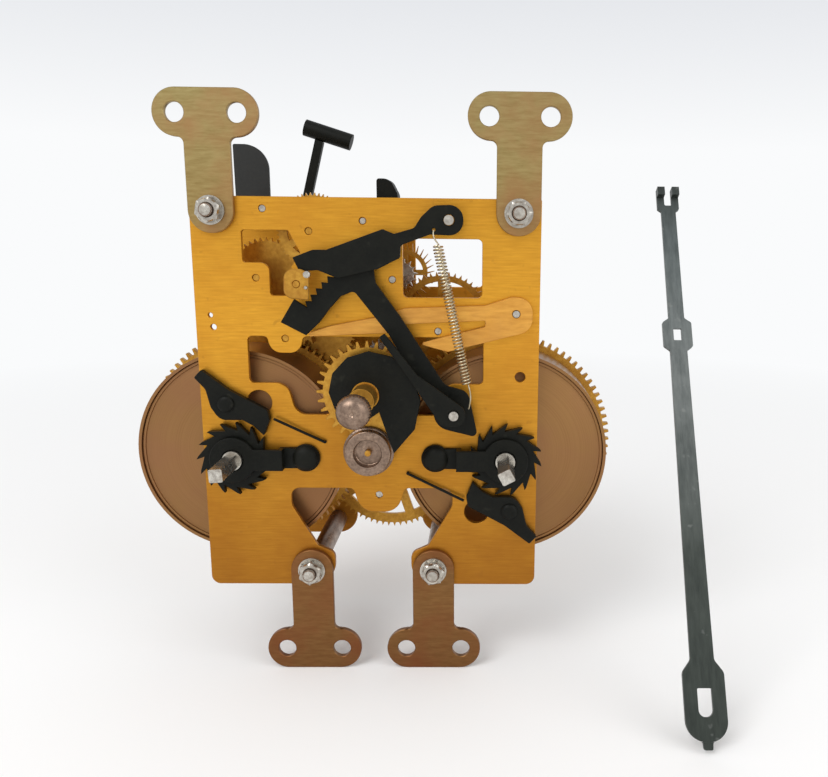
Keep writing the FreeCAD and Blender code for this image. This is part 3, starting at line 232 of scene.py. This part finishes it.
finishes = {
    # The plate's tint is multiplied by painted shade over its height: darker at the bottom, lightest about
    # two thirds up
    "brass_plate": metal(
        "plateBrass", colour(226, 166, 52), colour(206, 146, 40), colour(188, 124, 34), 0.75, 0.36,
        grain=(120.0, 900.0, 1600.0), patch=34.0, bump=0.06, stainShare=0.45,
        paintedLightByHeight=(-0.068, 0.061, [(0.0, colour(190, 172, 160)), (0.45, colour(232, 224, 214)),
                              (0.68, colour(255, 252, 246)), (1.0, colour(240, 236, 224))]),
        flecks=(0.35, colour(150, 96, 30))),
    "brass_wheel": metal(
        "wheelBrass", colour(206, 156, 62), colour(176, 124, 44), colour(148, 98, 36), 0.8, 0.34,
        grain=(700.0, 700.0, 700.0), patch=90.0, bump=0.05),
    "brass_lever": metal(
        "leverBrass", colour(226, 166, 74), colour(204, 142, 58), colour(178, 122, 62), 0.7, 0.36,
        grain=(160.0, 900.0, 900.0), patch=50.0, bump=0.05),
    # The brackets' tint is multiplied by painted shade over their height: darker and browner towards the
    # bottom
    "zinc_steel": metal(
        "yellowZinc", colour(166, 148, 102), colour(146, 126, 80), colour(158, 114, 78), 0.75, 0.38,
        grain=(220.0, 800.0, 1400.0), patch=46.0, bump=0.06, stainShare=0.75,
        paintedLightByHeight=(-0.099, 0.094, [(0.0, colour(196, 156, 132)), (0.3, colour(214, 176, 150)),
                              (0.72, colour(250, 236, 214)), (1.0, colour(248, 250, 240))])),
    "bright_steel": metal(
        "brightSteel", colour(206, 202, 192), colour(160, 154, 146), colour(128, 116, 100), 0.9, 0.26,
        grain=(900.0, 900.0, 900.0), patch=160.0, bump=0.04),
    "black_steel": metal(
        "blackSteel", colour(17, 18, 13), colour(9, 10, 7), colour(26, 26, 20), 0.0, 0.46,
        grain=(1200.0, 1200.0, 1200.0), patch=140.0, bump=0.10, flecks=(0.25, colour(52, 52, 44)),
        specular=0.14),
    "grey_steel": metal(
        "greySteel", colour(160, 136, 118), colour(118, 98, 84), colour(92, 74, 62), 0.85, 0.30,
        grain=(1200.0, 1200.0, 1200.0), patch=200.0, bump=0.05),
    "spring_steel": metal(
        "springSteel", colour(206, 196, 170), colour(170, 158, 128), colour(146, 118, 76), 0.9, 0.28,
        grain=(900.0, 900.0, 900.0), patch=60.0, bump=0.03),
}
# The leader's tint is multiplied by painted light over its height: a painted sheen brightest about two
# thirds up and painted shade darker towards both ends
leaderSteel = metal(
    "leaderSteel", colour(112, 116, 114), colour(84, 89, 87), colour(122, 126, 124), 0.5, 0.38,
    grain=(900.0, 140.0, 140.0), patch=70.0, bump=0.06, flecks=(0.3, colour(140, 142, 138)),
    paintedLightByHeight=(-0.097, 0.068, [(0.0, colour(120, 128, 118)), (0.30, colour(150, 156, 148)),
                          (0.62, colour(255, 255, 255)), (0.88, colour(214, 222, 224)),
                          (1.0, colour(120, 126, 120))]))
coverSteel = {side: turnedMetal(
    side + "CoverSteel", barrelCentre[side], colour(156, 116, 70), colour(134, 96, 56),
    colour(142, 98, 66), 0.75, 0.36) for side in barrelCentre}


cornerSteel = {"bareBelow": 0.0555, "blackAbove": 0.0565}


def cornerFinish():
    # Black lacquer on the upper part, bare rolled steel on the lower
    material, tree, shader = nodeTree("cornerSteel")
    share = heightPart(tree, cornerSteel["bareBelow"], cornerSteel["blackAbove"])
    grain = noise(tree, objectPoints(tree, (900.0, 900.0, 900.0)), 1.0, 3.0, 0.6)
    bare = ramp(tree, grain, [(0.3, colour(150, 146, 136)), (0.7, colour(206, 202, 192))])
    black = ramp(tree, grain, [(0.3, colour(9, 10, 7)), (0.7, colour(20, 20, 16))])
    tree.links.new(blendColour(tree, share, bare, black), shader.inputs["Base Color"])
    tree.links.new(spread(tree, share, 0.8, 0.0), shader.inputs["Metallic"])
    tree.links.new(spread(tree, share, 0.28, 0.6), shader.inputs["Roughness"])
    bumpFrom(tree, shader, grain, 0.06, 0.0002)
    return material


print("materials made")

slotOf = {s["node"]: s["material_slot"] for s in frame["record"]["subparts"]}
ownFinish = {
    "pendulum_leader": leaderSteel,
    "strike_barrel_drum": coverSteel["strike"],
    "time_barrel_drum": coverSteel["time"],
    "corner_plate": cornerFinish(),
    "time_click_spring": finishes["black_steel"],
    "strike_click_spring": finishes["black_steel"],
}
for node, obj in frame["nodes"].items():
    finish = ownFinish.get(node, finishes[slotOf[node]])
    obj.data.materials.clear()
    obj.data.materials.append(finish)


# Mesh tools

def addPiece(name, points, faces, finish, node=None, body=None):
    # A mesh from arrays of points and faces, turned round if its signed volume is negative
    mesh = bpy.data.meshes.new(name)
    quads = np.asarray(faces)
    a = points[quads[:, 0]]
    volume = 0.0
    for i in range(1, quads.shape[1] - 1):
        volume += np.einsum("ij,ij->i", a, np.cross(points[quads[:, i]], points[quads[:, i + 1]])).sum()
    if volume < 0:
        quads = quads[:, ::-1]
    mesh.from_pydata(points.tolist(), [], quads.tolist())
    form = bmesh.new()
    form.from_mesh(mesh)
    bmesh.ops.remove_doubles(form, verts=form.verts, dist=1e-7)
    form.to_mesh(mesh)
    form.free()
    mesh.polygons.foreach_set("use_smooth", np.full(len(mesh.polygons), True))
    mesh.set_sharp_from_angle(angle=math.radians(32.0))
    mesh.materials.append(finish)
    obj = bpy.data.objects.new(name, mesh)
    bpy.context.scene.collection.objects.link(obj)
    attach(obj, body or bodyOf[node])
    if node is not None:
        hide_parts(node)
    return obj


def gridFaces(rows, columns, closedRows=False):
    # Quads between neighbouring points of a grid of rows, each a ring of as many columns
    i = np.arange(rows if closedRows else rows - 1)
    j = np.arange(columns)
    i, j = np.meshgrid(i, j, indexing="ij")
    i, j = i.ravel(), j.ravel()
    nextI, nextJ = (i + 1) % rows, (j + 1) % columns
    here, after = i * columns, nextI * columns
    return np.column_stack([here + j, here + nextJ, after + nextJ, after + j])


def turnedGrid(profile, centre, around=96, wave=None):
    # A closed profile of (radius, height) in mm carried round the axis along Y through centre: the point at
    # turn t is centre + radius * (cos t, sin t), and its depth is minus its height
    profile = np.asarray(profile, float)
    turn = np.linspace(0.0, 2.0 * math.pi, around, endpoint=False)
    radius = profile[:, 0][:, None] * np.ones(around)[None, :]
    if wave is not None:
        radius = wave(radius, profile[:, 1][:, None], turn[None, :])
    x = centre[0] + radius * np.cos(turn) * mm
    z = centre[1] + radius * np.sin(turn) * mm
    y = -profile[:, 1][:, None] * mm * np.ones(around)[None, :]
    points = np.stack([x, y, z], axis=-1).reshape(-1, 3)
    return points, gridFaces(len(profile), around, closedRows=True)


def tube(path, guide, radius, sides):
    # At each point of the path a ring square to it, its first side towards guide
    along = np.gradient(path, axis=0)
    along /= np.linalg.norm(along, axis=1)[:, None]
    first = guide - along * np.einsum("ij,ij->i", guide, along)[:, None]
    first /= np.linalg.norm(first, axis=1)[:, None]
    second = np.cross(along, first)
    turn = np.linspace(0.0, 2.0 * math.pi, sides, endpoint=False)
    ring = first[:, None, :] * np.cos(turn)[None, :, None]
    ring = ring + second[:, None, :] * np.sin(turn)[None, :, None]
    radius = np.asarray(radius, float) * np.ones(len(path))
    points = (path[:, None, :] + ring * radius[:, None, None]).reshape(-1, 3)
    return points, gridFaces(len(path), sides)


def closedTube(path, guide, radius, sides):
    # The tube with its two ends drawn together to a point
    before = path[:1] + (path[:1] - path[1:2]) * 1e-3
    after = path[-1:] + (path[-1:] - path[-2:-1]) * 1e-3
    path = np.vstack([before, path, after])
    guide = np.vstack([guide[:1], guide, guide[-1:]])
    radii = np.full(len(path), float(radius))
    radii[0] = radii[-1] = 0.0
    return tube(path, guide, radii, sides)


def flatSides(mesh):
    # A merged copy of the mesh's points and triangles, with each triangle's unit normal
    form = bmesh.new()
    form.from_mesh(mesh)
    bmesh.ops.remove_doubles(form, verts=form.verts, dist=1e-6)
    bmesh.ops.triangulate(form, faces=form.faces)
    points = np.array([v.co[:] for v in form.verts])
    faces = np.array([[v.index for v in f.verts] for f in form.faces])
    form.free()
    normals = np.cross(points[faces[:, 1]] - points[faces[:, 0]], points[faces[:, 2]] - points[faces[:, 0]])
    length = np.linalg.norm(normals, axis=1)
    kept = length > 1e-13
    return points, faces[kept], normals[kept] / length[kept][:, None]


def insideLoops(places, starts, ends):
    # Even-odd rule: a place is inside when a ray from it crosses the edges an odd number of times
    x, z = places[:, 0][:, None], places[:, 1][:, None]
    ax, az, bx, bz = starts[:, 0], starts[:, 1], ends[:, 0], ends[:, 1]
    spans = (az > z) != (bz > z)
    rise = np.where(bz == az, 1.0, bz - az)
    return (spans & (x < ax + (bx - ax) * (z - az) / rise)).sum(axis=1) % 2 == 1


def rimEdges(region, count):
    # The half edges of a region that no other triangle runs back along
    halfEdges = np.vstack([region[:, [0, 1]], region[:, [1, 2]], region[:, [2, 0]]])
    forward = halfEdges[:, 0] * count + halfEdges[:, 1]
    backward = halfEdges[:, 1] * count + halfEdges[:, 0]
    return halfEdges[~np.isin(forward, backward)]


def wallsBehind(rim, walls, points, level, side):
    # True where an edge's wall lies behind the face, so that the edge stands out and can be broken
    count = len(points)
    keys = np.concatenate([walls[:, 1] * count + walls[:, 0], walls[:, 2] * count + walls[:, 1],
                           walls[:, 0] * count + walls[:, 2]])
    depths = np.tile(points[walls][:, :, 1].mean(axis=1), 3)
    order = np.argsort(keys)
    found = np.searchsorted(keys[order], rim[:, 0] * count + rim[:, 1]).clip(0, len(order) - 1)
    return (depths[order][found] - level) * side < 0


def cornerSteps(rim, behind, points, side, width):
    # A corner moves inward by width * (n1 + n2) / (1 + n1 . n2), with n1 and n2 the inward normals of the
    # two edges that meet there, and a corner of which one edge can't be broken stays
    count = len(points)
    along = points[rim[:, 1]] - points[rim[:, 0]]
    along /= np.linalg.norm(along, axis=1)[:, None]
    before, after = np.zeros((count, 3)), np.zeros((count, 3))
    cutBefore, cutAfter = np.zeros(count, bool), np.zeros(count, bool)
    after[rim[:, 0]] = before[rim[:, 1]] = np.cross([0.0, side, 0.0], along)
    cutAfter[rim[:, 0]], cutBefore[rim[:, 1]] = behind, behind
    cut = cutBefore & cutAfter
    dot = np.einsum("ij,ij->i", before, after)
    sharpest = 0.35
    step = (before + after) / np.maximum(1.0 + dot, sharpest)[:, None] * width
    return step * cut[:, None], cut


def lidOver(flat, edges, level, side):
    # Triangles over an outline and round its holes, at the level and facing the side
    spots, _, tris, _, _, _ = delaunay_2d_cdt([Vector(p) for p in flat / mm], edges.tolist(), [], 0, 1e-5)
    spots = np.array([p[:] for p in spots]) * mm
    tris = np.array(tris)
    tris = tris[insideLoops(spots[tris].mean(axis=1), flat[edges[:, 0]], flat[edges[:, 1]])]
    lid = np.column_stack([spots[:, 0], np.full(len(spots), level), spots[:, 1]])
    facing = np.cross(lid[tris[:, 1]] - lid[tris[:, 0]], lid[tris[:, 2]] - lid[tris[:, 0]])[:, 1]
    turned = facing * side < 0
    tris[turned] = tris[turned][:, ::-1]
    return lid, tris


def chamfered(node, width):
    # Each face square to Y is drawn in by the width and its walls are cut back by as much, so that a
    # sloping band joins them
    points, faces, normals = flatSides(frame["nodes"][node].data)
    square = np.abs(normals[:, 1]) > 0.9995
    walls = faces[~square]
    if np.abs(normals[~square][:, 1]).max() > 0.02:
        print("no chamfer on", node)
        return
    width = width * mm
    count = len(points)
    moved = points.copy()
    newPoints, newFaces = [], walls.tolist()
    used = count
    for level in np.unique(np.round(points[faces[square][:, 0], 1], 5)):
        for side in (-1.0, 1.0):
            here = square & (normals[:, 1] * side > 0) & (np.abs(points[faces[:, 0], 1] - level) < 2e-6)
            if not here.any():
                continue
            rim = rimEdges(faces[here], count)
            behind = wallsBehind(rim, walls, points, level, side)
            step, cut = cornerSteps(rim, behind, points, side, width)
            moved[cut, 1] = level - side * width
            corners = np.unique(rim)
            slot = np.full(count, -1)
            slot[corners] = np.arange(len(corners))
            inset = (points + step)[corners]
            lid, tris = lidOver(inset[:, [0, 2]], slot[rim], level, side)
            newFaces += (tris + used).tolist()
            used += len(lid)
            edge = rim[cut[rim[:, 0]] & cut[rim[:, 1]]]
            inner = slot[edge] + used
            newFaces += np.column_stack([edge[:, 0], edge[:, 1], inner[:, 1], inner[:, 0]]).tolist()
            used += len(inset)
            newPoints += [lid, inset]
    mesh = bpy.data.meshes.new(node + "_finished")
    mesh.from_pydata(np.vstack([moved] + newPoints).tolist(), [], newFaces)
    form = bmesh.new()
    form.from_mesh(mesh)
    bmesh.ops.remove_doubles(form, verts=form.verts, dist=2e-7)
    loose = [v for v in form.verts if not v.link_faces]
    bmesh.ops.delete(form, geom=loose, context="VERTS")
    form.to_mesh(mesh)
    form.free()
    mesh.polygons.foreach_set("use_smooth", np.full(len(mesh.polygons), True))
    mesh.set_sharp_from_angle(angle=math.radians(30.0))
    mesh.materials.append(frame["nodes"][node].data.materials[0])
    obj = bpy.data.objects.new(node + "_finished", mesh)
    bpy.context.scene.collection.objects.link(obj)
    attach(obj, bodyOf[node])
    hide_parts(node)


# Pressed, sawn and cut pieces keep their outline and get broken edges, in mm

brokenEdges = {
    "front_plate": 0.14, "back_plate": 0.14, "upper_brackets": 0.22, "lower_brackets": 0.22,
    "corner_plate": 0.12, "time_click": 0.2, "strike_click": 0.2, "time_ratchet_wheel": 0.12,
    "strike_ratchet_wheel": 0.12, "rack": 0.12, "rack_tail": 0.12, "rack_hook": 0.14, "lifting_lever": 0.12,
    "snail": 0.1, "suspension_cock": 0.2, "crutch": 0.1, "anchor": 0.1, "pendulum_leader": 0.12,
    "time_ratchet_bridge": 0.2, "strike_ratchet_bridge": 0.2, "time_great_wheel": 0.1,
    "strike_great_wheel": 0.1, "centre_wheel": 0.08, "hour_wheel": 0.08, "minute_wheel": 0.08,
    "gathering_pallet": 0.3,
}
for node, width in brokenEdges.items():
    chamfered(node, width)
print("edges broken on", len(brokenEdges), "pieces")


# Tension spring: one wire from the rack hook's eye to the rack post, close coils between two hooks

tension = {
    "top": (22.7, -8.55, 47.0),
    "bottom": (31.9, -8.55, 3.4),
    "coilRadius": 1.45,
    "wireRadius": 0.24,
    "curls": 44,
    "eyeTop": (21.6, -8.25, 51.3),
    "eyeBottom": (32.4, -8.55, -4.4),
}


def tensionSpring():
    # A helix: top + axis * t + radius * (cos, sin) of 2 pi curls t, with a bowed lead to each eye
    top, bottom = np.array(tension["top"]), np.array(tension["bottom"])
    axis = bottom - top
    up = axis / np.linalg.norm(axis)
    side = np.cross(up, [0.0, 1.0, 0.0])
    side /= np.linalg.norm(side)
    other = np.cross(up, side)
    steps = tension["curls"] * 20
    t = np.linspace(0.0, 1.0, steps + 1)
    turn = 2.0 * math.pi * tension["curls"] * t
    swell = np.minimum(1.0, np.minimum(t, 1.0 - t) * tension["curls"] * 1.2 + 0.25)
    radial = side * np.cos(turn)[:, None] + other * np.sin(turn)[:, None]
    coilPath = top + axis * t[:, None] + radial * (tension["coilRadius"] * swell)[:, None]
    lead = np.linspace(0.0, 1.0, 14)[:, None]
    eyeTop, eyeBottom = np.array(tension["eyeTop"]), np.array(tension["eyeBottom"])
    bow = np.sin(lead * math.pi)
    topLead = eyeTop + (coilPath[0] - eyeTop) * lead + np.array([-0.7, 0.0, 0.0]) * bow
    bottomLead = coilPath[-1] + (eyeBottom - coilPath[-1]) * lead + np.array([0.7, 0.0, 0.0]) * bow
    path = np.vstack([topLead[:-1], coilPath, bottomLead[1:]])
    centreLine = np.vstack([topLead[:-1] * 0 + topLead[:-1].mean(axis=0) + np.array([0, 5.0, 0]),
                            top + axis * t[:, None],
                            bottomLead[1:] * 0 + bottomLead[1:].mean(axis=0) + np.array([0, 5.0, 0])])
    points, faces = closedTube(path * mm, (path - centreLine) * mm, tension["wireRadius"] * mm, 8)
    addPiece("tension_spring_coil", points, faces, finishes["spring_steel"], node="tension_spring")


tensionSpring()


# Barrel covers: a snapped-in lid with a bright bead round its rim and a shallow step round the arbor

cover = {
    "radius": 33.6,
    "bore": 3.5,
    "front": -6.6,
    "thickness": 1.2,
    "bead": 0.5,
}


def barrelCover(side):
    # Profile in (radius, height): flat back, rounded outer bead, shallow groove, flat front, inner step
    front, back = cover["front"], cover["front"] - cover["thickness"]
    r, bead = cover["radius"], cover["bead"]
    turn = np.linspace(-0.5 * math.pi, 0.5 * math.pi, 7)
    rim = [(r - bead + bead * math.cos(a), front - bead + bead * math.sin(a)) for a in turn]
    profile = [(cover["bore"], back), (r - 0.2, back)] + rim
    profile += [(r - 1.1, front - 0.05), (r - 1.3, front - 0.42), (r - 1.7, front - 0.45),
                (r - 2.1, front - 0.25)]
    profile += [(12.4, front - 0.25), (11.9, front - 0.05), (7.2, front - 0.05), (6.8, front - 0.3)]
    profile += [(cover["bore"] + 0.3, front - 0.3), (cover["bore"], front - 0.55)]
    points, faces = turnedGrid(profile, barrelCentre[side], around=160)
    addPiece(side + "_barrel_lid", points, faces, coverSteel[side], node=side + "_barrel_cover")


for side in barrelCentre:
    barrelCover(side)


# Hand nut: a domed, finely knurled nut, and the cup of the clutch below it

handNut = {
    "profile": [(0.0, 36.15), (0.45, 36.2), (0.8, 36.5), (1.4, 36.6), (2.4, 36.45), (3.5, 36.0),
                (4.3, 35.3), (4.85, 34.5), (5.1, 33.9), (5.1, 31.7), (4.9, 31.2), (4.4, 31.0),
                (1.65, 31.0), (1.65, 35.4), (0.0, 35.5)],
    "ribs": 36,
    "ribDepth": 0.2,
}


def knurled(radius, height, turn):
    # Ribs on the straight part of the nut: the radius less a rectified sine round the turn
    band = np.clip((radius - 4.8) / 0.3, 0.0, 1.0)
    return radius - handNut["ribDepth"] * band * np.abs(np.sin(turn * handNut["ribs"] / 2.0))


points, faces = turnedGrid(handNut["profile"], (0.0, 0.0), around=216, wave=knurled)
addPiece("hand_nut_turned", points, faces, finishes["grey_steel"], node="hand_nut")

motionAt = (0.0, -0.0195)
cup = {
    "profile": [(1.05, 4.7), (7.9, 4.7), (8.2, 4.95), (8.2, 5.4), (7.9, 5.7), (7.5, 5.8), (7.5, 7.9),
                (7.3, 8.3), (6.9, 8.5), (5.1, 8.5), (4.65, 8.3), (4.4, 7.9), (4.4, 5.85), (4.2, 5.7),
                (1.05, 5.7)],
}
points, faces = turnedGrid(cup["profile"], motionAt, around=128)
addPiece("clutch_cup_turned", points, faces, finishes["grey_steel"], node="clutch_cup")

# Pillar nuts: hexagons with turned corners, and a domed end on each bolt

pillarNuts = {
    "flats": 7.0,
    "corner": 4.02,
    "bore": 2.02,
    "chamfer": 0.42,
    "front": (2.8, 5.8),
    "back": (-52.6, -49.6),
    "turns": (11.0, 27.0, 4.0, 19.0),
}
pillarPlaces = ((-47.7, 56.6), (47.7, 56.6), (-20.5, -62.1), (20.5, -62.1))


def hexagon(startTurn):
    # The radius is held to flats / 2 / cos of the turn's distance from the nearest flat's middle
    def held(radius, height, turn):
        off = (turn + startTurn + math.pi / 6) % (math.pi / 3) - math.pi / 6
        return np.minimum(radius, pillarNuts["flats"] / 2.0 / np.cos(off))
    return held


def nutProfile(low, high):
    # Profile in (radius, height): flat faces, corners turned off at both ends, a bore with broken edges
    cut, bore, corner = pillarNuts["chamfer"], pillarNuts["bore"], pillarNuts["corner"]
    return [(bore + 0.3, low), (corner - 0.55, low), (corner, low + cut), (corner, high - cut),
            (corner - 0.75, high), (bore + 0.35, high), (bore, high - 0.35), (bore, low + 0.3)]


for (x, z), turnDegrees in zip(pillarPlaces, pillarNuts["turns"]):
    for end in ("front", "back"):
        low, high = pillarNuts[end]
        points, faces = turnedGrid(nutProfile(low, high), (x * mm, z * mm), around=120,
                                   wave=hexagon(math.radians(turnDegrees)))
        place = ("upper" if z > 0 else "lower") + ("Right" if x > 0 else "Left")
        addPiece("pillar_nut_%s_%s" % (place, end), points, faces, finishes["bright_steel"],
                 node="pillar_nuts")

boltEnds = {"radius": 2.0, "front": 7.2, "back": -54.0, "dome": 0.35}
for i, (x, z) in enumerate(pillarPlaces):
    for end, way in (("front", 1.0), ("back", -1.0)):
        tip, r, dome = boltEnds[end], boltEnds["radius"], boltEnds["dome"] * way
        profile = [(0.0, tip + dome), (r * 0.5, tip + dome * 0.8), (r * 0.85, tip + dome * 0.3),
                   (r + 0.02, tip - dome), (r + 0.02, tip - dome * 3.0), (0.0, tip - dome * 3.0)]
        points, faces = turnedGrid(profile, (x * mm, z * mm), around=48)
        addPiece("bolt_end_%d_%s" % (i + 1, end), points, faces, finishes["bright_steel"], body="root")

# Screws: two domed heads on the ratchet bridges, two flatter ones on the clicks

screws = {
    "bridgeHead": [(0.0, 3.75), (1.4, 3.62), (2.8, 3.2), (3.7, 2.55), (4.2, 1.9), (4.2, 1.5), (1.5, 1.5),
                   (1.5, 0.05), (0.0, 0.05)],
    "clickHead": [(0.0, 4.1), (1.6, 4.05), (2.3, 3.8), (2.6, 3.45), (2.6, 3.1), (1.5, 3.1), (1.5, 0.05),
                  (0.0, 0.05)],
    "bridgePlaces": ((-21.3, -23.0), (21.3, -23.0)),
    "clickPlaces": ((-46.0, -4.6), (46.0, -40.6)),
}
for kind in ("bridge", "click"):
    for i, (x, z) in enumerate(screws[kind + "Places"]):
        points, faces = turnedGrid(screws[kind + "Head"], (x * mm, z * mm), around=64)
        addPiece("%s_screw_%d" % (kind, i + 1), points, faces, finishes["black_steel"], node="black_screws")

# Bright pins on the gathering pallet: place, radius and the heights between which they stand, in mm

pins = {
    "gathering_pin_long": (-16.9, 37.6, 1.05, 9.9, 11.2),
    "gathering_pin_short": (-17.4, 33.6, 0.6, 9.8, 10.6),
}
for name, (x, z, r, low, high) in pins.items():
    profile = [(0.0, high), (r * 0.7, high - 0.08), (r, high - 0.35), (r, low - 0.4), (0.0, low - 0.4)]
    points, faces = turnedGrid(profile, (x * mm, z * mm), around=40)
    addPiece(name, points, faces, finishes["bright_steel"], body=bodyOf["gathering_pallet"])
print("turned pieces made")


# Stage

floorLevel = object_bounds()[0].z
stage = {
    "floorHalf": 6.0,
    "paper": colour(250, 250, 250),
    "horizon": colour(250, 251, 252),
    "upper": colour(229, 231, 235),
    "lightTint": colour(250, 250, 250),
    "lightStrength": 0.74,
    "fadeStart": 0.16,
    "fadeEnd": 0.75,
}


def shownOnly(tree, kinds):
    # 1 for rays of the named kinds, 0 for the others
    paths = tree.nodes.new("ShaderNodeLightPath")
    out = paths.outputs[kinds[0]]
    for kind in kinds[1:]:
        either = tree.nodes.new("ShaderNodeMath")
        either.operation = "MAXIMUM"
        tree.links.new(out, either.inputs[0])
        tree.links.new(paths.outputs[kind], either.inputs[1])
        out = either.outputs["Value"]
    return out


def surfaceOf(tree, kind):
    return next(n for n in tree.nodes if n.type == kind).inputs["Surface"]


shownTo = ("Is Camera Ray", "Is Glossy Ray", "Is Transmission Ray")


def addFloor():
    # Paper that takes shadows near the movement and runs into the backdrop's white further out
    mesh = bpy.data.meshes.new("floor")
    half = stage["floorHalf"]
    corners = [(-half, -half), (half, -half), (half, half), (-half, half)]
    mesh.from_pydata([(x, y, floorLevel) for x, y in corners], [], [(0, 1, 2, 3)])
    floor = bpy.data.objects.new("floor", mesh)
    bpy.context.scene.collection.objects.link(floor)
    material, tree, shader = nodeTree("paperFloor")
    shader.inputs["Base Color"].default_value = stage["paper"]
    shader.inputs["Roughness"].default_value = 0.9
    shader.inputs["Specular IOR Level"].default_value = 0.0
    white = tree.nodes.new("ShaderNodeEmission")
    white.inputs["Color"].default_value = stage["horizon"]
    away = tree.nodes.new("ShaderNodeVectorMath")
    away.operation = "LENGTH"
    tree.links.new(objectPoints(tree, (1.0, 1.0, 0.0)), away.inputs[0])
    far = spread(tree, away.outputs["Value"], 0.0, 1.0, stage["fadeStart"], stage["fadeEnd"])
    seen = tree.nodes.new("ShaderNodeMath")
    seen.operation = "MULTIPLY"
    tree.links.new(far, seen.inputs[0])
    tree.links.new(shownOnly(tree, shownTo), seen.inputs[1])
    mix = tree.nodes.new("ShaderNodeMixShader")
    tree.links.new(seen.outputs["Value"], mix.inputs[0])
    tree.links.new(shader.outputs[0], mix.inputs[1])
    tree.links.new(white.outputs[0], mix.inputs[2])
    tree.links.new(mix.outputs[0], surfaceOf(tree, "OUTPUT_MATERIAL"))
    mesh.materials.append(material)


def addSky():
    # The light is even; what shows is white at the horizon and pale grey higher up
    world = bpy.data.worlds.new("paperSky")
    bpy.context.scene.world = world
    world.use_nodes = True
    tree = world.node_tree
    ground = next(n for n in tree.nodes if n.type == "BACKGROUND")
    ground.inputs["Color"].default_value = stage["lightTint"]
    ground.inputs["Strength"].default_value = stage["lightStrength"]
    shown = tree.nodes.new("ShaderNodeBackground")
    points = tree.nodes.new("ShaderNodeTexCoord")
    split = tree.nodes.new("ShaderNodeSeparateXYZ")
    tree.links.new(points.outputs["Generated"], split.inputs["Vector"])
    height = spread(tree, split.outputs["Z"], 0.0, 1.0, 0.0, 0.26)
    tint = ramp(tree, height, [(0.35, stage["horizon"]), (1.0, stage["upper"])])
    tree.links.new(tint, shown.inputs["Color"])
    mix = tree.nodes.new("ShaderNodeMixShader")
    tree.links.new(shownOnly(tree, shownTo), mix.inputs[0])
    tree.links.new(ground.outputs[0], mix.inputs[1])
    tree.links.new(shown.outputs[0], mix.inputs[2])
    tree.links.new(mix.outputs[0], surfaceOf(tree, "OUTPUT_WORLD"))


addFloor()
addSky()

lamps = {
    "windowLamp": {"place": (-0.55, -0.75, 0.85), "size": 0.7, "power": 7.0},
    "fillLamp": {"place": (0.8, -0.6, 0.45), "size": 0.8, "power": 3.0},
}
for name, values in lamps.items():
    data = bpy.data.lights.new(name, "AREA")
    data.size = values["size"]
    data.energy = values["power"]
    lamp = bpy.data.objects.new(name, data)
    lamp.location = values["place"]
    aim = Vector((0.0, 0.02, -0.01)) - Vector(values["place"])
    lamp.rotation_euler = aim.to_track_quat("-Z", "Y").to_euler()
    bpy.context.scene.collection.objects.link(lamp)
print("stage and lamps set")
